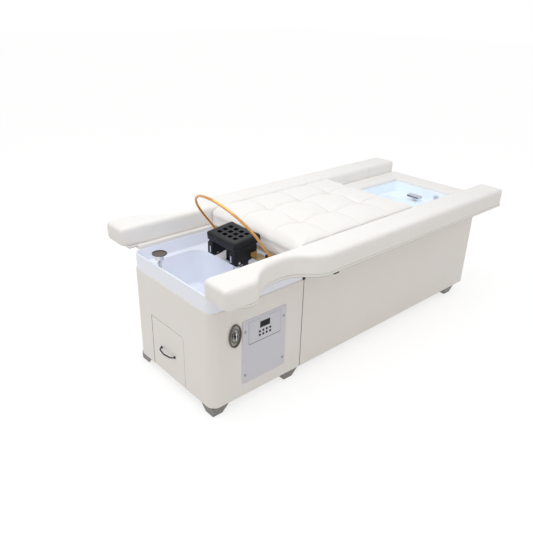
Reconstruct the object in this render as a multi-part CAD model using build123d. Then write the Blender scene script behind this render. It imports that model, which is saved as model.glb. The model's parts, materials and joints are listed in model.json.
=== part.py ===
from build123d import *
import math
import os

os.makedirs("parts", exist_ok=True)

# A head spa bed: a head cabinet with a wash basin, a bed body with a foot bath, two armrests.
# Millimetres. +X runs from the head end to the foot end, -Y is the side with the controls, +Z is up.
# The origin lies on the floor, below the middle of the box round the whole bed.

# Overall sizes
BODY_WIDTH = 650.0
HEAD_OVERHANG = 43.0
CABINET_LENGTH = 558.0
CABINET_HEIGHT = 503.0
SKIRT_HEIGHT = 80.0
FOOT_HEIGHT = 45.0
MATTRESS_LENGTH = 913.0
MATTRESS_LAP = 66.0
TRAY_LENGTH = 707.0
ARMREST_WIDTH = 157.0
ARMREST_STANDOFF = 11.0

# General values of the joinery
WALL = 18.0
BOARD_THICKNESS = 18.0
OVERRUN = 5.0
SEAT_GAP = 0.3
RUNNING_CLEARANCE = 0.05
SLIDE_CLEARANCE = 0.4
HALF = 0.5

# Places along the bed, across it and up from the floor
MATTRESS_START = CABINET_LENGTH - MATTRESS_LAP
TRAY_START = MATTRESS_START + MATTRESS_LENGTH
BED_LENGTH = HEAD_OVERHANG + TRAY_START + TRAY_LENGTH
BODY_HEIGHT = CABINET_HEIGHT + SKIRT_HEIGHT
HEAD_X = -BED_LENGTH * HALF
FOOT_X = BED_LENGTH * HALF
CAB_X = HEAD_X + HEAD_OVERHANG
SEAM_X = CAB_X + CABINET_LENGTH
SIDE_Y = BODY_WIDTH * HALF
ARMREST_INNER_Y = SIDE_Y + ARMREST_STANDOFF
ARMREST_OUTER_Y = ARMREST_INNER_Y + ARMREST_WIDTH
FLOOR_Z = FOOT_HEIGHT
CAB_TOP_Z = FLOOR_Z + CABINET_HEIGHT
BODY_TOP_Z = FLOOR_Z + BODY_HEIGHT
BOARD_TOP_Z = BODY_TOP_Z + BOARD_THICKNESS

# Head cabinet
CABINET_CORNER_RADIUS = 46.0
COVER_ROUND = 5.0
COVER_TOP_ROUND = 4.0

# Armrests and the boards under them
ARMREST_HEIGHT = 102.0
ARMREST_HEAD_RADIUS = 34.0
ARMREST_FOOT_RADIUS = 28.0
ARMREST_TOP_ROUND = 22.0
ARMREST_BOTTOM_ROUND = 13.0
WAIST_WIDTH = 58.0
WAIST_DEPTH = ARMREST_WIDTH - WAIST_WIDTH
WAIST_START = 147.0
WAIST_HEAD_RADIUS = 45.0
WAIST_HEAD_SWEEP_RADIUS = 240.0
WAIST_FLAT = 25.0
WAIST_FOOT_RADIUS = 147.0
BOARD_LAP = 10.0
BOARD_INSET = 8.0
BOARD_CORNER_RADIUS = 20.0
BEARER_WIDTH = 40.0
BEARER_THICKNESS = 6.0
BEARER_INSET = 24.0
BEARER_FROM_SEAM = 57.0
BEARER_FROM_FOOT = 72.0

# Mattress
MATTRESS_GAP = 1.0
MATTRESS_EDGE_HEIGHT = 100.0
MATTRESS_CROWN = 16.0
MATTRESS_SHOULDER = 26.0
MATTRESS_SIDE_DISH = 5.0
MATTRESS_CORNER_RADIUS = 30.0
MATTRESS_BOARD_SETBACK = 8.0
TUFT_PITCH = 232.0
TUFT_COLUMNS = round(MATTRESS_LENGTH / TUFT_PITCH) - 1
TUFT_FIRST = (MATTRESS_LENGTH - TUFT_PITCH * (TUFT_COLUMNS - 1)) * HALF
TUFT_HALF_SPACING = 120.0
TUFT_DEPTH = 22.0
TUFT_RADIUS = 46.0
TUFT_PIT_RADIUS = 7.0
CHANNEL_RADIUS = 62.0
CHANNEL_DEPTH = 7.0

# Foot tray: its padded border, board and bath
TRAY_HEAD_MARGIN = 95.0
TRAY_FOOT_MARGIN = 129.0
TRAY_SIDE_MARGIN = 110.0
TRAY_OPENING_START = TRAY_START + TRAY_HEAD_MARGIN
TRAY_OPENING_END = TRAY_START + TRAY_LENGTH - TRAY_FOOT_MARGIN
TRAY_OPENING_HALF_WIDTH = SIDE_Y - TRAY_SIDE_MARGIN
TRAY_PAD_HEIGHT = 30.0
TRAY_PAD_ROUND = 10.0
TRAY_CORNER_RADIUS = 12.0
BATH_LIP_SHOWN = 8.0
BATH_LIP_LAP = 14.0
BATH_LIP_THICKNESS = 4.0
BATH_WALL = 5.0
BATH_CORNER_RADIUS = 28.0
BATH_SHELF_DROP = 60.0
BATH_SHELF_LENGTH = 125.0
BATH_SHELF_SIDE = 34.0
BATH_BOWL_RADIUS = 55.0
BATH_BOWL_DEPTH = 185.0
BATH_TAPER = 6.0
BATH_FLOOR_ROUND = 22.0

# Head basin
BASIN_INSET = 4.0
BASIN_SKIRT = 5.0
BASIN_RIM_WIDTH = 8.0
BASIN_RIM_ROUND = 3.5
BASIN_LEDGE_DROP = 67.0
BASIN_LEDGE_THICKNESS = 5.0
BASIN_SEAM_GAP = 9.0
BASIN_LEDGE_RADIUS = CABINET_CORNER_RADIUS - BASIN_INSET - BASIN_RIM_WIDTH
BASIN_LEDGE_ROUND = 4.0
BOWL_START = 85.0
BOWL_FROM_MATTRESS = 117.0
BOWL_LENGTH = MATTRESS_START - BOWL_START - BOWL_FROM_MATTRESS
BOWL_FROM_SIDE = 40.0
BOWL_HALF_WIDTH = SIDE_Y - BOWL_FROM_SIDE
BOWL_RADIUS = 70.0
BOWL_DEPTH = 188.0
BOWL_TAPER = 8.0
BOWL_WALL = 5.0
BOWL_FLOOR_ROUND = 18.0

# Drains
WASTE_HOLE_RADIUS = 23.0
WASTE_FLANGE_RADIUS = 35.0
WASTE_FLANGE_THICKNESS = 3.0
WASTE_TAIL_LENGTH = 30.0
WASTE_SLOT_RADIUS = 3.5
WASTE_SLOT_RING = 14.0
WASTE_SLOTS = 6
PIPE_RADIUS = 20.0
PIPE_WALL = 2.0
PIPE_BEND = 50.0
PIPE_SOCKET_RADIUS = 29.0
PIPE_HOLE_MARGIN = 4.0
HEAD_DRAIN_DROP = 123.0
HEAD_WASTE_FROM_BOWL_END = 82.0
OUTLET_FROM_SEAM = 120.0
OUTLET_Z = 18.0
FOOT_DRAIN_Z = 150.0

# Drawer in the head end
DRAWER_MIN_Y = -107.0
DRAWER_MAX_Y = 172.0
DRAWER_TOP_MARGIN = 216.0
DRAWER_HEIGHT = CABINET_HEIGHT - DRAWER_TOP_MARGIN
DRAWER_BOTTOM_GAP = 3.0
DRAWER_REVEAL = 1.5
DRAWER_CORNER_RADIUS = 17.0
DRAWER_FAR_RADIUS = 4.0
DRAWER_FRONT_ROUND = 3.0
DRAWER_TO_DRAIN = 11.0
DRAWER_SIDE = 12.0
DRAWER_BOX_DROP = 97.0
DRAWER_BOX_HEIGHT = DRAWER_HEIGHT - DRAWER_BOX_DROP
DRAWER_BOX_LIFT = 26.0
DRAWER_SIDE_MARGIN = 16.0
HANDLE_SPAN = 116.0
HANDLE_RISE = 24.0
HANDLE_RADIUS = 5.0
HANDLE_FOOT_RADIUS = 8.0
HANDLE_FOOT_THICKNESS = 4.0
HANDLE_BOW = 13.0
HANDLE_Z_SHARE = 0.49
HANDLE_SCREW_RADIUS = 2.0
HANDLE_SCREW_HEAD_RADIUS = 4.5
HANDLE_SCREW_HEAD = 3.0
SLIDE_HEIGHT = 24.0
SLIDE_THICKNESS = 4.0
RUNNER_WALL = 2.0
RUNNER_FOOT_WIDTH = 16.0
SLIDE_CENTRE_LIFT = 48.0

# Feet and under-frame
FOOT_INSET = 9.0
FOOT_ARM = 120.0
FOOT_FLAT = 58.0
FOOT_TIP = 9.0
FOOT_THICKNESS = 14.0
FOOT_PLATE = 4.0
GLIDE_THICKNESS = 3.0
GLIDE_INSET = 2.0
MIDDLE_FOOT_FROM_SEAM = 100.0
TAIL_FOOT_FROM_END = 176.0
BOLT_RADIUS = 4.0
BOLT_HEAD_RADIUS = 7.0
BOLT_HEAD_HEIGHT = 5.0
BOLT_INSET = 40.0
FRAME_TUBE_WIDTH = 40.0
FRAME_TUBE_HEIGHT = 25.0
FRAME_TUBE_WALL = 2.0
FRAME_FROM_SIDE = 160.0
FRAME_Y = SIDE_Y - FRAME_FROM_SIDE
FRAME_END_INSET = 70.0
FRAME_CROSSBARS = 4

# Control panel
PLATE_START = 173.0
PLATE_WIDTH = 272.0
PLATE_LOW = 70.0
PLATE_TOP_MARGIN = 92.0
PLATE_HEIGHT = CABINET_HEIGHT - PLATE_TOP_MARGIN - PLATE_LOW
PLATE_THICKNESS = 4.0
PLATE_BEVEL = 2.5
PLATE_CORNER_RADIUS = 6.0
OVERLAY_SIDE_MARGIN = 36.0
OVERLAY_WIDTH = PLATE_WIDTH - OVERLAY_SIDE_MARGIN / HALF
OVERLAY_TOP_MARGIN = 12.0
OVERLAY_HEIGHT = 122.0
OVERLAY_BOTTOM = PLATE_HEIGHT - OVERLAY_TOP_MARGIN - OVERLAY_HEIGHT
OVERLAY_THICKNESS = 0.8
DISPLAY_WIDTH = 56.0
DISPLAY_HEIGHT = 28.0
DISPLAY_FROM_SIDE = 107.0
DISPLAY_LIFT = 70.0
DISPLAY_BOTTOM = OVERLAY_BOTTOM + DISPLAY_LIFT
DISPLAY_PROUD = 0.6
DISPLAY_DEPTH = 5.0
BUTTON_RADIUS = 5.6
BUTTON_GAP = 0.3
BUTTON_PROUD = 2.4
BUTTON_FLANGE = 1.4
BUTTON_FLANGE_THICKNESS = 1.5
BUTTON_ROUND = 1.0
BUTTON_PITCH_X = 21.4
BUTTON_PITCH_Z = 19.5
BUTTON_COLUMNS = 4
BUTTON_ROWS = 2
BUTTON_FROM_SIDE = 103.0
BUTTON_LIFT = 49.5
BUTTON_TOP_ROW = OVERLAY_BOTTOM + BUTTON_LIFT
BUTTON_TRAVEL = 1.2
BUTTON_BACK_GAP = 0.4
KEY_HEIGHT = 3.0
KEY_HALF_WIDTH = 3.0
BOX_SIDE_MARGIN = 26.0
BOX_WIDTH = PLATE_WIDTH - BOX_SIDE_MARGIN / HALF
BOX_TOP_MARGIN = 21.0
BOX_HEIGHT = 170.0
BOX_BOTTOM = PLATE_HEIGHT - BOX_TOP_MARGIN - BOX_HEIGHT
BOX_DEPTH = 46.0
BOX_WALL = 2.5
BOX_MARGIN = 2.0
BOARD_MARGIN = 8.0
CIRCUIT_THICKNESS = 1.6
PANEL_SCREW_RADIUS = 2.0
PANEL_SCREW_HEAD = 4.2
PANEL_SCREW_DOME = 1.8
PANEL_SCREW_LENGTH = 20.0
PANEL_SCREW_SIDE = 17.0
PANEL_SCREW_TOP = 57.0
PANEL_SCREW_BOTTOM = 48.0

# Mixer tap beside the panel
MIXER_FROM_FRONT = 131.0
MIXER_DROP = 146.0
MIXER_PLATE_HALF_WIDTH = 35.0
MIXER_PLATE_HALF_HEIGHT = 59.5
MIXER_PLATE_THICKNESS = 6.0
MIXER_PLATE_BEAD = 7.0
MIXER_PLATE_FLOOR = 3.0
MIXER_BOSS_RADIUS = 15.0
MIXER_BOSS_HEIGHT = 7.0
MIXER_LEVER_LENGTH = 58.0
MIXER_LEVER_WIDTH = 12.0
MIXER_LEVER_HEIGHT = 10.0
MIXER_HUB_RADIUS = 10.0
SPINDLE_RADIUS = 4.0
SPINDLE_REACH = 22.0
VALVE_RADIUS = 18.0
VALVE_LENGTH = 52.0
VALVE_HOLE_RADIUS = 20.0
VALVE_FLANGE_RADIUS = 26.0
VALVE_FLANGE_THICKNESS = 4.0
VALVE_TAIL_RADIUS = 8.0
VALVE_TAIL_LENGTH = 26.0

# Spouts
SPOUT_FROM_FRONT = 44.0
SPOUT_Y = 132.0
SPOUT_BASE_RADIUS = 19.0
SPOUT_BASE_THICKNESS = 4.0
SPOUT_STEM_RADIUS = 8.0
SPOUT_STEM_HEIGHT = 76.0
SPOUT_CUP_RADIUS = 23.0
SPOUT_CUP_HEIGHT = 26.0
SPOUT_CUP_WALL = 2.0
SPOUT_DISC_RADIUS = 36.0
SPOUT_DISC_THICKNESS = 5.0
SPOUT_DISC_DISH = 2.5
SPOUT_DISC_RIM = 4.0
SPOUT_TAIL_LENGTH = 18.0
BLADE_FROM_END = 88.0
BLADE_Y = -12.0
BLADE_WIDTH = 92.0
BLADE_LENGTH = 44.0
BLADE_THICKNESS = 14.0
BLADE_WALL = 3.0
BLADE_RISE = 22.0
BLADE_ROUND = 4.0
BLADE_STEM_RADIUS = 13.0
DIAL_Y = -122.0
DIAL_LIFT = 26.0
DIAL_RADIUS = 19.0
DIAL_THICKNESS = 10.0
DIAL_GRIP = 5.0
DIAL_SHAFT_RADIUS = 5.0
DIAL_NUT_RADIUS = 11.0
DIAL_NUT_THICKNESS = 7.0
DIAL_MARK_RADIUS = 4.5
DIAL_MARK_DEPTH = 3.0

# Neck rest
NECK_TO_MATTRESS = 194.0
NECK_START = MATTRESS_START - NECK_TO_MATTRESS
NECK_TOP_LIFT = 167.0
NECK_LENGTH = 165.0
NECK_HALF_WIDTH = 114.0
NECK_THICKNESS = 46.0
NECK_TILT = 6.3
NECK_CHAMFER = 7.0
NECK_CORNER_RADIUS = 12.0
NECK_SKIN = 9.0
NECK_HOLE_RADIUS = 9.5
NECK_HOLE_PITCH_X = 35.0
NECK_HOLE_PITCH_Y = 41.0
NECK_HOLE_ROWS = 3
NECK_HOLE_COLUMNS = 4
CHEEK_FRONT_SETBACK = 6.0
CHEEK_LENGTH = 140.0
CHEEK_LIFT = 44.0
CHEEK_INNER_Y = 68.0
CHEEK_OUTER_Y = 105.0
CHEEK_CHAMFER = 12.0
CHEEK_POCKET_DEPTH = 9.0
CHEEK_POCKET_MARGIN = 14.0
CROSS_SCREW_RADIUS = 3.0
CROSS_SCREW_HEAD = 6.0
CROSS_SCREW_DOME = 3.0
CROSS_SCREW_FROM_FRONT = 30.0
CROSS_SCREW_LIFT = 15.0
TAB_WIDTH = 9.0
TAB_THICKNESS = 2.5
TAB_HEIGHT = 34.0
TAB_LIFT = 6.0
PROP_ROD_RADIUS = 4.5
PROP_ROD_FROM_FRONT = 13.0
PROP_ROD_REACH = 84.0
PROP_ROD_FOOT_RADIUS = 8.0
PROP_ROD_FOOT_HEIGHT = 10.0
NECK_TRAVEL = 25.0
STAND_THICKNESS = 3.0
STAND_WIDTH = 34.0
STAND_FOOT = 26.0
STAND_FROM_BOWL = 14.0
STAND_HEIGHT = 114.0
STAND_SLOT_TOP_MARGIN = 8.0

# Water arch, its arms and clamp knobs
ARM_WIDTH = 44.0
ARM_THICKNESS = 6.0
ARM_LIFT = 70.0
ARM_TIP = 17.0
ARM_EAR_THICKNESS = 6.0
ARM_EAR_RADIUS = 13.0
PIVOT_TO_MATTRESS = 44.0
PIVOT_FROM_CABINET = MATTRESS_START - PIVOT_TO_MATTRESS
PIVOT_LIFT = 90.0
ARCH_FROM_SIDE = 117.0
ARCH_HALF_SPAN = SIDE_Y - ARCH_FROM_SIDE
ARCH_LEG = 151.0
ARCH_TILT = 36.7
ARCH_TUBE_RADIUS = 6.5
ARCH_BORE_RADIUS = 5.0
ARCH_HUB_RADIUS = 10.0
ARCH_HUB_LENGTH = 16.0
ARCH_JET_RADIUS = 1.6
ARCH_JETS = 9
PIVOT_RADIUS = 4.0
KNOB_RADIUS = 12.0
KNOB_LENGTH = 18.0
KNOB_LOBES = 5
KNOB_LOBE_RADIUS = 4.0
CAP_NUT_RADIUS = 7.0
CAP_NUT_LENGTH = 6.0

# Water system inside the bed body
TANK_FROM_SEAM = 205.0
TANK_LENGTH = 420.0
TANK_FROM_SIDE = 105.0
TANK_HALF_WIDTH = SIDE_Y - TANK_FROM_SIDE
TANK_FROM_BODY_TOP = 298.0
TANK_HEIGHT = BODY_HEIGHT - TANK_FROM_BODY_TOP
TANK_RADIUS = 30.0
TANK_CAP_RADIUS = 45.0
TANK_CAP_HEIGHT = 16.0
PUMP_GAP = 60.0
PUMP_VOLUTE_RADIUS = 55.0
PUMP_VOLUTE_LENGTH = 60.0
PUMP_MOTOR_RADIUS = 45.0
PUMP_MOTOR_LENGTH = 120.0
PUMP_PORT_RADIUS = 16.0
PUMP_BASE_WIDTH = 110.0
PUMP_BASE_THICKNESS = 10.0
SUPPLY_RADIUS = 8.0
SUPPLY_WALL = 1.5
SUPPLY_BEND = 28.0
SUPPLY_FROM_SIDE = 67.0
SUPPLY_Y = SIDE_Y - SUPPLY_FROM_SIDE
SUPPLY_FROM_TANK_TOP = 48.0
SUPPLY_UNDER_LEDGE = 22.0
GLAND_RADIUS = 12.0
GLAND_NUT_RADIUS = 15.0
GLAND_NUT_THICKNESS = 8.0
GLAND_DROP = 22.0
GLAND_FROM_SEAM = 300.0
GLAND_FROM_SIDE = 55.0
GLAND_Y = SIDE_Y - GLAND_FROM_SIDE
GLAND_BORE = 5.0

parts = {}


def block(x0, x1, y0, y1, z0, z1):
    """A box between two corners."""
    centre = ((x0 + x1) * HALF, (y0 + y1) * HALF, (z0 + z1) * HALF)
    return Pos(*centre) * Box(x1 - x0, y1 - y0, z1 - z0)


def rod(start, direction, length, radius):
    """A round bar from a point along a direction."""
    bar = Cylinder(radius, length, align=(Align.CENTER, Align.CENTER, Align.MIN))
    return Plane(origin=start, z_dir=direction) * bar


def mirrored(shape):
    """The same shape on the other side of the bed."""
    return mirror(shape, about=Plane.XZ)


def pair(shape):
    """A shape and its mirror image as two separate solids."""
    return Compound(children=[*shape.solids(), *mirrored(shape).solids()])


def group(shapes):
    """Several separate solids as one compound."""
    return Compound(children=[solid for shape in shapes for solid in shape.solids()])


def upright_edges(shape, which):
    """The vertical edges at the head end (0) or the foot end (-1)."""
    return shape.edges().filter_by(Axis.Z).group_by(Axis.X)[which]


def rounded_block(x0, x1, y0, y1, z0, z1, radius):
    """A box with rounded vertical edges."""
    box = block(x0, x1, y0, y1, z0, z1)
    return fillet(box.edges().filter_by(Axis.Z), radius)


def tapered_bowl(x0, x1, half_width, top_z, depth, radius, taper, floor_round):
    """A bowl-shaped solid that narrows downwards, with a rounded floor edge."""
    mouth = Pos((x0 + x1) * HALF, 0, top_z) * RectangleRounded(x1 - x0, half_width / HALF, radius)
    bowl = extrude(mouth, amount=-depth, taper=taper)
    floor_edges = bowl.faces().sort_by(Axis.Z)[0].edges()
    return fillet(floor_edges, floor_round)


def pipe(points, bend, radius, wall):
    """A pipe of straight runs and tangent bends."""
    path = FilletPolyline(*points, radius=bend)
    section = Circle(radius) - Circle(radius - wall)
    return sweep(Plane(origin=path @ 0, z_dir=path % 0) * section, path=path)


# Head cabinet and bed body

DRAWER_TOP_Z = FLOOR_Z + DRAWER_BOTTOM_GAP + DRAWER_HEIGHT
PLATE_X = CAB_X + PLATE_START
PLATE_Z = FLOOR_Z + PLATE_LOW
BOX_X = PLATE_X + (PLATE_WIDTH - BOX_WIDTH) * HALF
BOX_Z = PLATE_Z + BOX_BOTTOM
MIXER_X = CAB_X + MIXER_FROM_FRONT
MIXER_Z = CAB_TOP_Z - MIXER_DROP
PIPE_HOLE_RADIUS = PIPE_RADIUS + PIPE_HOLE_MARGIN
SUPPLY_HOLE_RADIUS = SUPPLY_RADIUS + PIPE_HOLE_MARGIN
BEARER_XS = (
    SEAM_X + BEARER_FROM_SEAM,
    CAB_X + (CABINET_LENGTH + TRAY_OPENING_START) * HALF,
    CAB_X + (TRAY_START + TRAY_OPENING_START) * HALF,
    FOOT_X - BEARER_FROM_FOOT,
)
OUTLET_X = SEAM_X + OUTLET_FROM_SEAM
GLAND_X = SEAM_X + GLAND_FROM_SEAM


def drawer_front_shape(margin, start_x, end_x, low_z):
    """The drawer front's outline, grown by a margin: one upper corner is rounder than the other."""
    front = block(start_x, end_x, DRAWER_MIN_Y - margin, DRAWER_MAX_Y + margin, low_z,
                  DRAWER_TOP_Z + margin)
    top_edges = front.edges().filter_by(Axis.X).group_by(Axis.Z)[-1].sort_by(Axis.Y)
    front = fillet(top_edges[0], DRAWER_CORNER_RADIUS + margin)
    top_edges = front.edges().filter_by(Axis.X).sort_by(Axis.Y)[-2:].sort_by(Axis.Z)
    return fillet(top_edges[-1], DRAWER_FAR_RADIUS + margin)


def seam_holes(x0, x1):
    """The passages for the drain and the supply pipe through the two walls at the seam."""
    drain = rod((x0, 0, HEAD_DRAIN_Z), (1, 0, 0), x1 - x0, PIPE_HOLE_RADIUS)
    supply = rod((x0, SUPPLY_Y, SUPPLY_LOW_Z), (1, 0, 0), x1 - x0, SUPPLY_HOLE_RADIUS)
    return drain + supply


def make_head_cabinet():
    outer = block(CAB_X, SEAM_X, -SIDE_Y, SIDE_Y, FLOOR_Z, CAB_TOP_Z)
    outer = fillet(upright_edges(outer, 0), CABINET_CORNER_RADIUS)
    outer = fillet(upright_edges(outer, -1), COVER_ROUND)
    outer = fillet(outer.faces().sort_by(Axis.Z)[0].edges(), COVER_ROUND)
    outer = fillet(outer.faces().sort_by(Axis.Z)[-1].edges(), COVER_TOP_ROUND)
    hollow = block(CAB_X + WALL, SEAM_X - WALL, WALL - SIDE_Y, SIDE_Y - WALL, FLOOR_Z + WALL,
                   CAB_TOP_Z + OVERRUN)
    hollow = fillet(upright_edges(hollow, 0), CABINET_CORNER_RADIUS - WALL)
    shell = outer - hollow
    shell -= drawer_front_shape(DRAWER_REVEAL, CAB_X - OVERRUN, CAB_X + WALL, FLOOR_Z - OVERRUN)
    shell -= block(CAB_X + WALL - OVERRUN, CAB_X + WALL + OVERRUN, DRAWER_MIN_Y + DRAWER_SIDE_MARGIN,
                   DRAWER_MAX_Y - DRAWER_SIDE_MARGIN, FLOOR_Z + WALL, DRAWER_TOP_Z - WALL)
    shell -= block(BOX_X - BOX_MARGIN, BOX_X + BOX_WIDTH + BOX_MARGIN, -SIDE_Y - OVERRUN,
                   WALL - SIDE_Y + OVERRUN, BOX_Z - BOX_MARGIN, BOX_Z + BOX_HEIGHT + BOX_MARGIN)
    shell -= rod((MIXER_X, -SIDE_Y - OVERRUN, MIXER_Z), (0, 1, 0), WALL + OVERRUN / HALF,
                 VALVE_HOLE_RADIUS)
    shell -= seam_holes(SEAM_X - WALL - OVERRUN, SEAM_X)
    for x, z in panel_screw_places():
        shell -= rod((x, -SIDE_Y - OVERRUN, z), (0, 1, 0), PANEL_SCREW_LENGTH + OVERRUN, PANEL_SCREW_RADIUS)
    return shell


def panel_screw_places():
    """The four screw centres of the control plate."""
    left = PLATE_X + PANEL_SCREW_SIDE
    right = PLATE_X + PLATE_WIDTH - PANEL_SCREW_SIDE
    low = PLATE_Z + PANEL_SCREW_BOTTOM
    high = PLATE_Z + PLATE_HEIGHT - PANEL_SCREW_TOP
    return [(x, z) for x in (left, right) for z in (low, high)]


def make_bed_body():
    shell = block(SEAM_X, FOOT_X, -SIDE_Y, SIDE_Y, FLOOR_Z, BODY_TOP_Z)
    shell = fillet(shell.edges().filter_by(Axis.Z), COVER_ROUND)
    shell = fillet(shell.faces().sort_by(Axis.Z)[0].edges(), COVER_ROUND)
    shell -= block(SEAM_X + WALL, FOOT_X - WALL, WALL - SIDE_Y, SIDE_Y - WALL, FLOOR_Z + WALL,
                   BODY_TOP_Z + OVERRUN)
    for x in BEARER_XS:
        half_notch = BEARER_WIDTH * HALF + SEAT_GAP
        shell -= block(x - half_notch, x + half_notch, -SIDE_Y - OVERRUN, SIDE_Y + OVERRUN,
                       BODY_TOP_Z - BEARER_THICKNESS, BODY_TOP_Z + OVERRUN)
    shell -= seam_holes(SEAM_X, SEAM_X + WALL + OVERRUN)
    shell -= rod((OUTLET_X, 0, FLOOR_Z - OVERRUN), (0, 0, 1), WALL + OVERRUN / HALF, PIPE_HOLE_RADIUS)
    shell -= rod((GLAND_X, GLAND_Y, FLOOR_Z - OVERRUN), (0, 0, 1), WALL + OVERRUN / HALF, GLAND_RADIUS)
    return shell


# Armrests, their boards and the steel bearers

def armrest_outline(inner_y, inset):
    """The plan of an armrest on the +Y side: straight, with a waist beside the basin."""
    outer_y = ARMREST_OUTER_Y - inset
    head_x = HEAD_X + inset
    foot_x = FOOT_X - inset
    head_sum = WAIST_HEAD_RADIUS + WAIST_HEAD_SWEEP_RADIUS
    head_angle = math.acos(1 - WAIST_DEPTH / head_sum)
    foot_sum = WAIST_FOOT_RADIUS / HALF
    foot_angle = math.acos(1 - WAIST_DEPTH / foot_sum)
    waist_x = HEAD_X + WAIST_START
    turn_x = waist_x + WAIST_HEAD_RADIUS * math.sin(head_angle)
    turn_y = outer_y - WAIST_HEAD_RADIUS * (1 - math.cos(head_angle))
    flat_x = waist_x + head_sum * math.sin(head_angle)
    rise_x = flat_x + WAIST_FLAT
    back_x = rise_x + WAIST_FOOT_RADIUS * math.sin(foot_angle)
    end_x = rise_x + foot_sum * math.sin(foot_angle)
    waist_y = outer_y - WAIST_DEPTH
    first = TangentArc((waist_x, outer_y), (turn_x, turn_y), tangent=(1, 0))
    second = TangentArc((turn_x, turn_y), (flat_x, waist_y), tangent=first % 1)
    middle_y = outer_y - WAIST_DEPTH * HALF
    third = TangentArc((rise_x, waist_y), (back_x, middle_y), tangent=(1, 0))
    fourth = TangentArc((back_x, middle_y), (end_x, outer_y), tangent=third % 1)
    edges = [
        Line((head_x, inner_y), (head_x, outer_y)),
        Line((head_x, outer_y), (waist_x, outer_y)),
        first,
        second,
        Line((flat_x, waist_y), (rise_x, waist_y)),
        third,
        fourth,
        Line((end_x, outer_y), (foot_x, outer_y)),
        Line((foot_x, outer_y), (foot_x, inner_y)),
        Line((foot_x, inner_y), (head_x, inner_y)),
    ]
    return Face(Wire(edges))


def make_armrest():
    outline = armrest_outline(ARMREST_INNER_Y, 0)
    pad = Pos(0, 0, BOARD_TOP_Z) * extrude(outline, amount=ARMREST_HEIGHT, dir=(0, 0, 1))
    pad = fillet(upright_edges(pad, 0), ARMREST_HEAD_RADIUS)
    pad = fillet(upright_edges(pad, -1), ARMREST_FOOT_RADIUS)
    pad = fillet(pad.faces().sort_by(Axis.Z)[-1].edges(), ARMREST_TOP_ROUND)
    return fillet(pad.faces().sort_by(Axis.Z)[0].edges(), ARMREST_BOTTOM_ROUND)


def make_armrest_board():
    outline = armrest_outline(SIDE_Y - BOARD_LAP, BOARD_INSET)
    board = Pos(0, 0, BODY_TOP_Z) * extrude(outline, amount=BOARD_THICKNESS, dir=(0, 0, 1))
    board = fillet(upright_edges(board, 0)[-1:], BOARD_CORNER_RADIUS)
    return fillet(upright_edges(board, -1)[-1:], BOARD_CORNER_RADIUS)


def make_bearers():
    reach = ARMREST_OUTER_Y - BEARER_INSET
    half_width = BEARER_WIDTH * HALF
    return group([block(x - half_width, x + half_width, -reach, reach, BODY_TOP_Z - BEARER_THICKNESS,
                        BODY_TOP_Z) for x in BEARER_XS])


# Mattress and its board

MATTRESS_X = CAB_X + MATTRESS_START
MATTRESS_END_X = MATTRESS_X + MATTRESS_LENGTH
MATTRESS_Y = ARMREST_INNER_Y - MATTRESS_GAP
MATTRESS_TOP_Z = BOARD_TOP_Z + MATTRESS_EDGE_HEIGHT + MATTRESS_CROWN
TUFT_XS = [MATTRESS_X + TUFT_FIRST + TUFT_PITCH * i for i in range(TUFT_COLUMNS)]


def crowned_profile(low, high):
    """A side view of the mattress: upright ends, rounded shoulders and an arched top."""
    top = BOARD_TOP_Z + MATTRESS_EDGE_HEIGHT
    shoulder_z = top - MATTRESS_SHOULDER
    left_turn = (low + MATTRESS_SHOULDER, top)
    right_turn = (high - MATTRESS_SHOULDER, top)
    edges = [
        Line((low, BOARD_TOP_Z), (low, shoulder_z)),
        RadiusArc((low, shoulder_z), left_turn, MATTRESS_SHOULDER),
        ThreePointArc(left_turn, ((low + high) * HALF, MATTRESS_TOP_Z), right_turn),
        RadiusArc(right_turn, (high, shoulder_z), MATTRESS_SHOULDER),
        Line((high, shoulder_z), (high, BOARD_TOP_Z)),
        Line((high, BOARD_TOP_Z), (low, BOARD_TOP_Z)),
    ]
    return Face(Wire(edges))


def mattress_plan():
    """The mattress from above: its sides are drawn in between the corners."""
    corners = [(MATTRESS_X, -MATTRESS_Y), (MATTRESS_END_X, -MATTRESS_Y),
               (MATTRESS_END_X, MATTRESS_Y), (MATTRESS_X, MATTRESS_Y)]
    centre_x = (MATTRESS_X + MATTRESS_END_X) * HALF
    middles = [(centre_x, MATTRESS_SIDE_DISH - MATTRESS_Y), (MATTRESS_END_X - MATTRESS_SIDE_DISH, 0),
               (centre_x, MATTRESS_Y - MATTRESS_SIDE_DISH), (MATTRESS_X + MATTRESS_SIDE_DISH, 0)]
    sides = [ThreePointArc(corners[i], middles[i], corners[(i + 1) % len(corners)])
             for i in range(len(corners))]
    return Face(Wire(sides))


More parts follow.
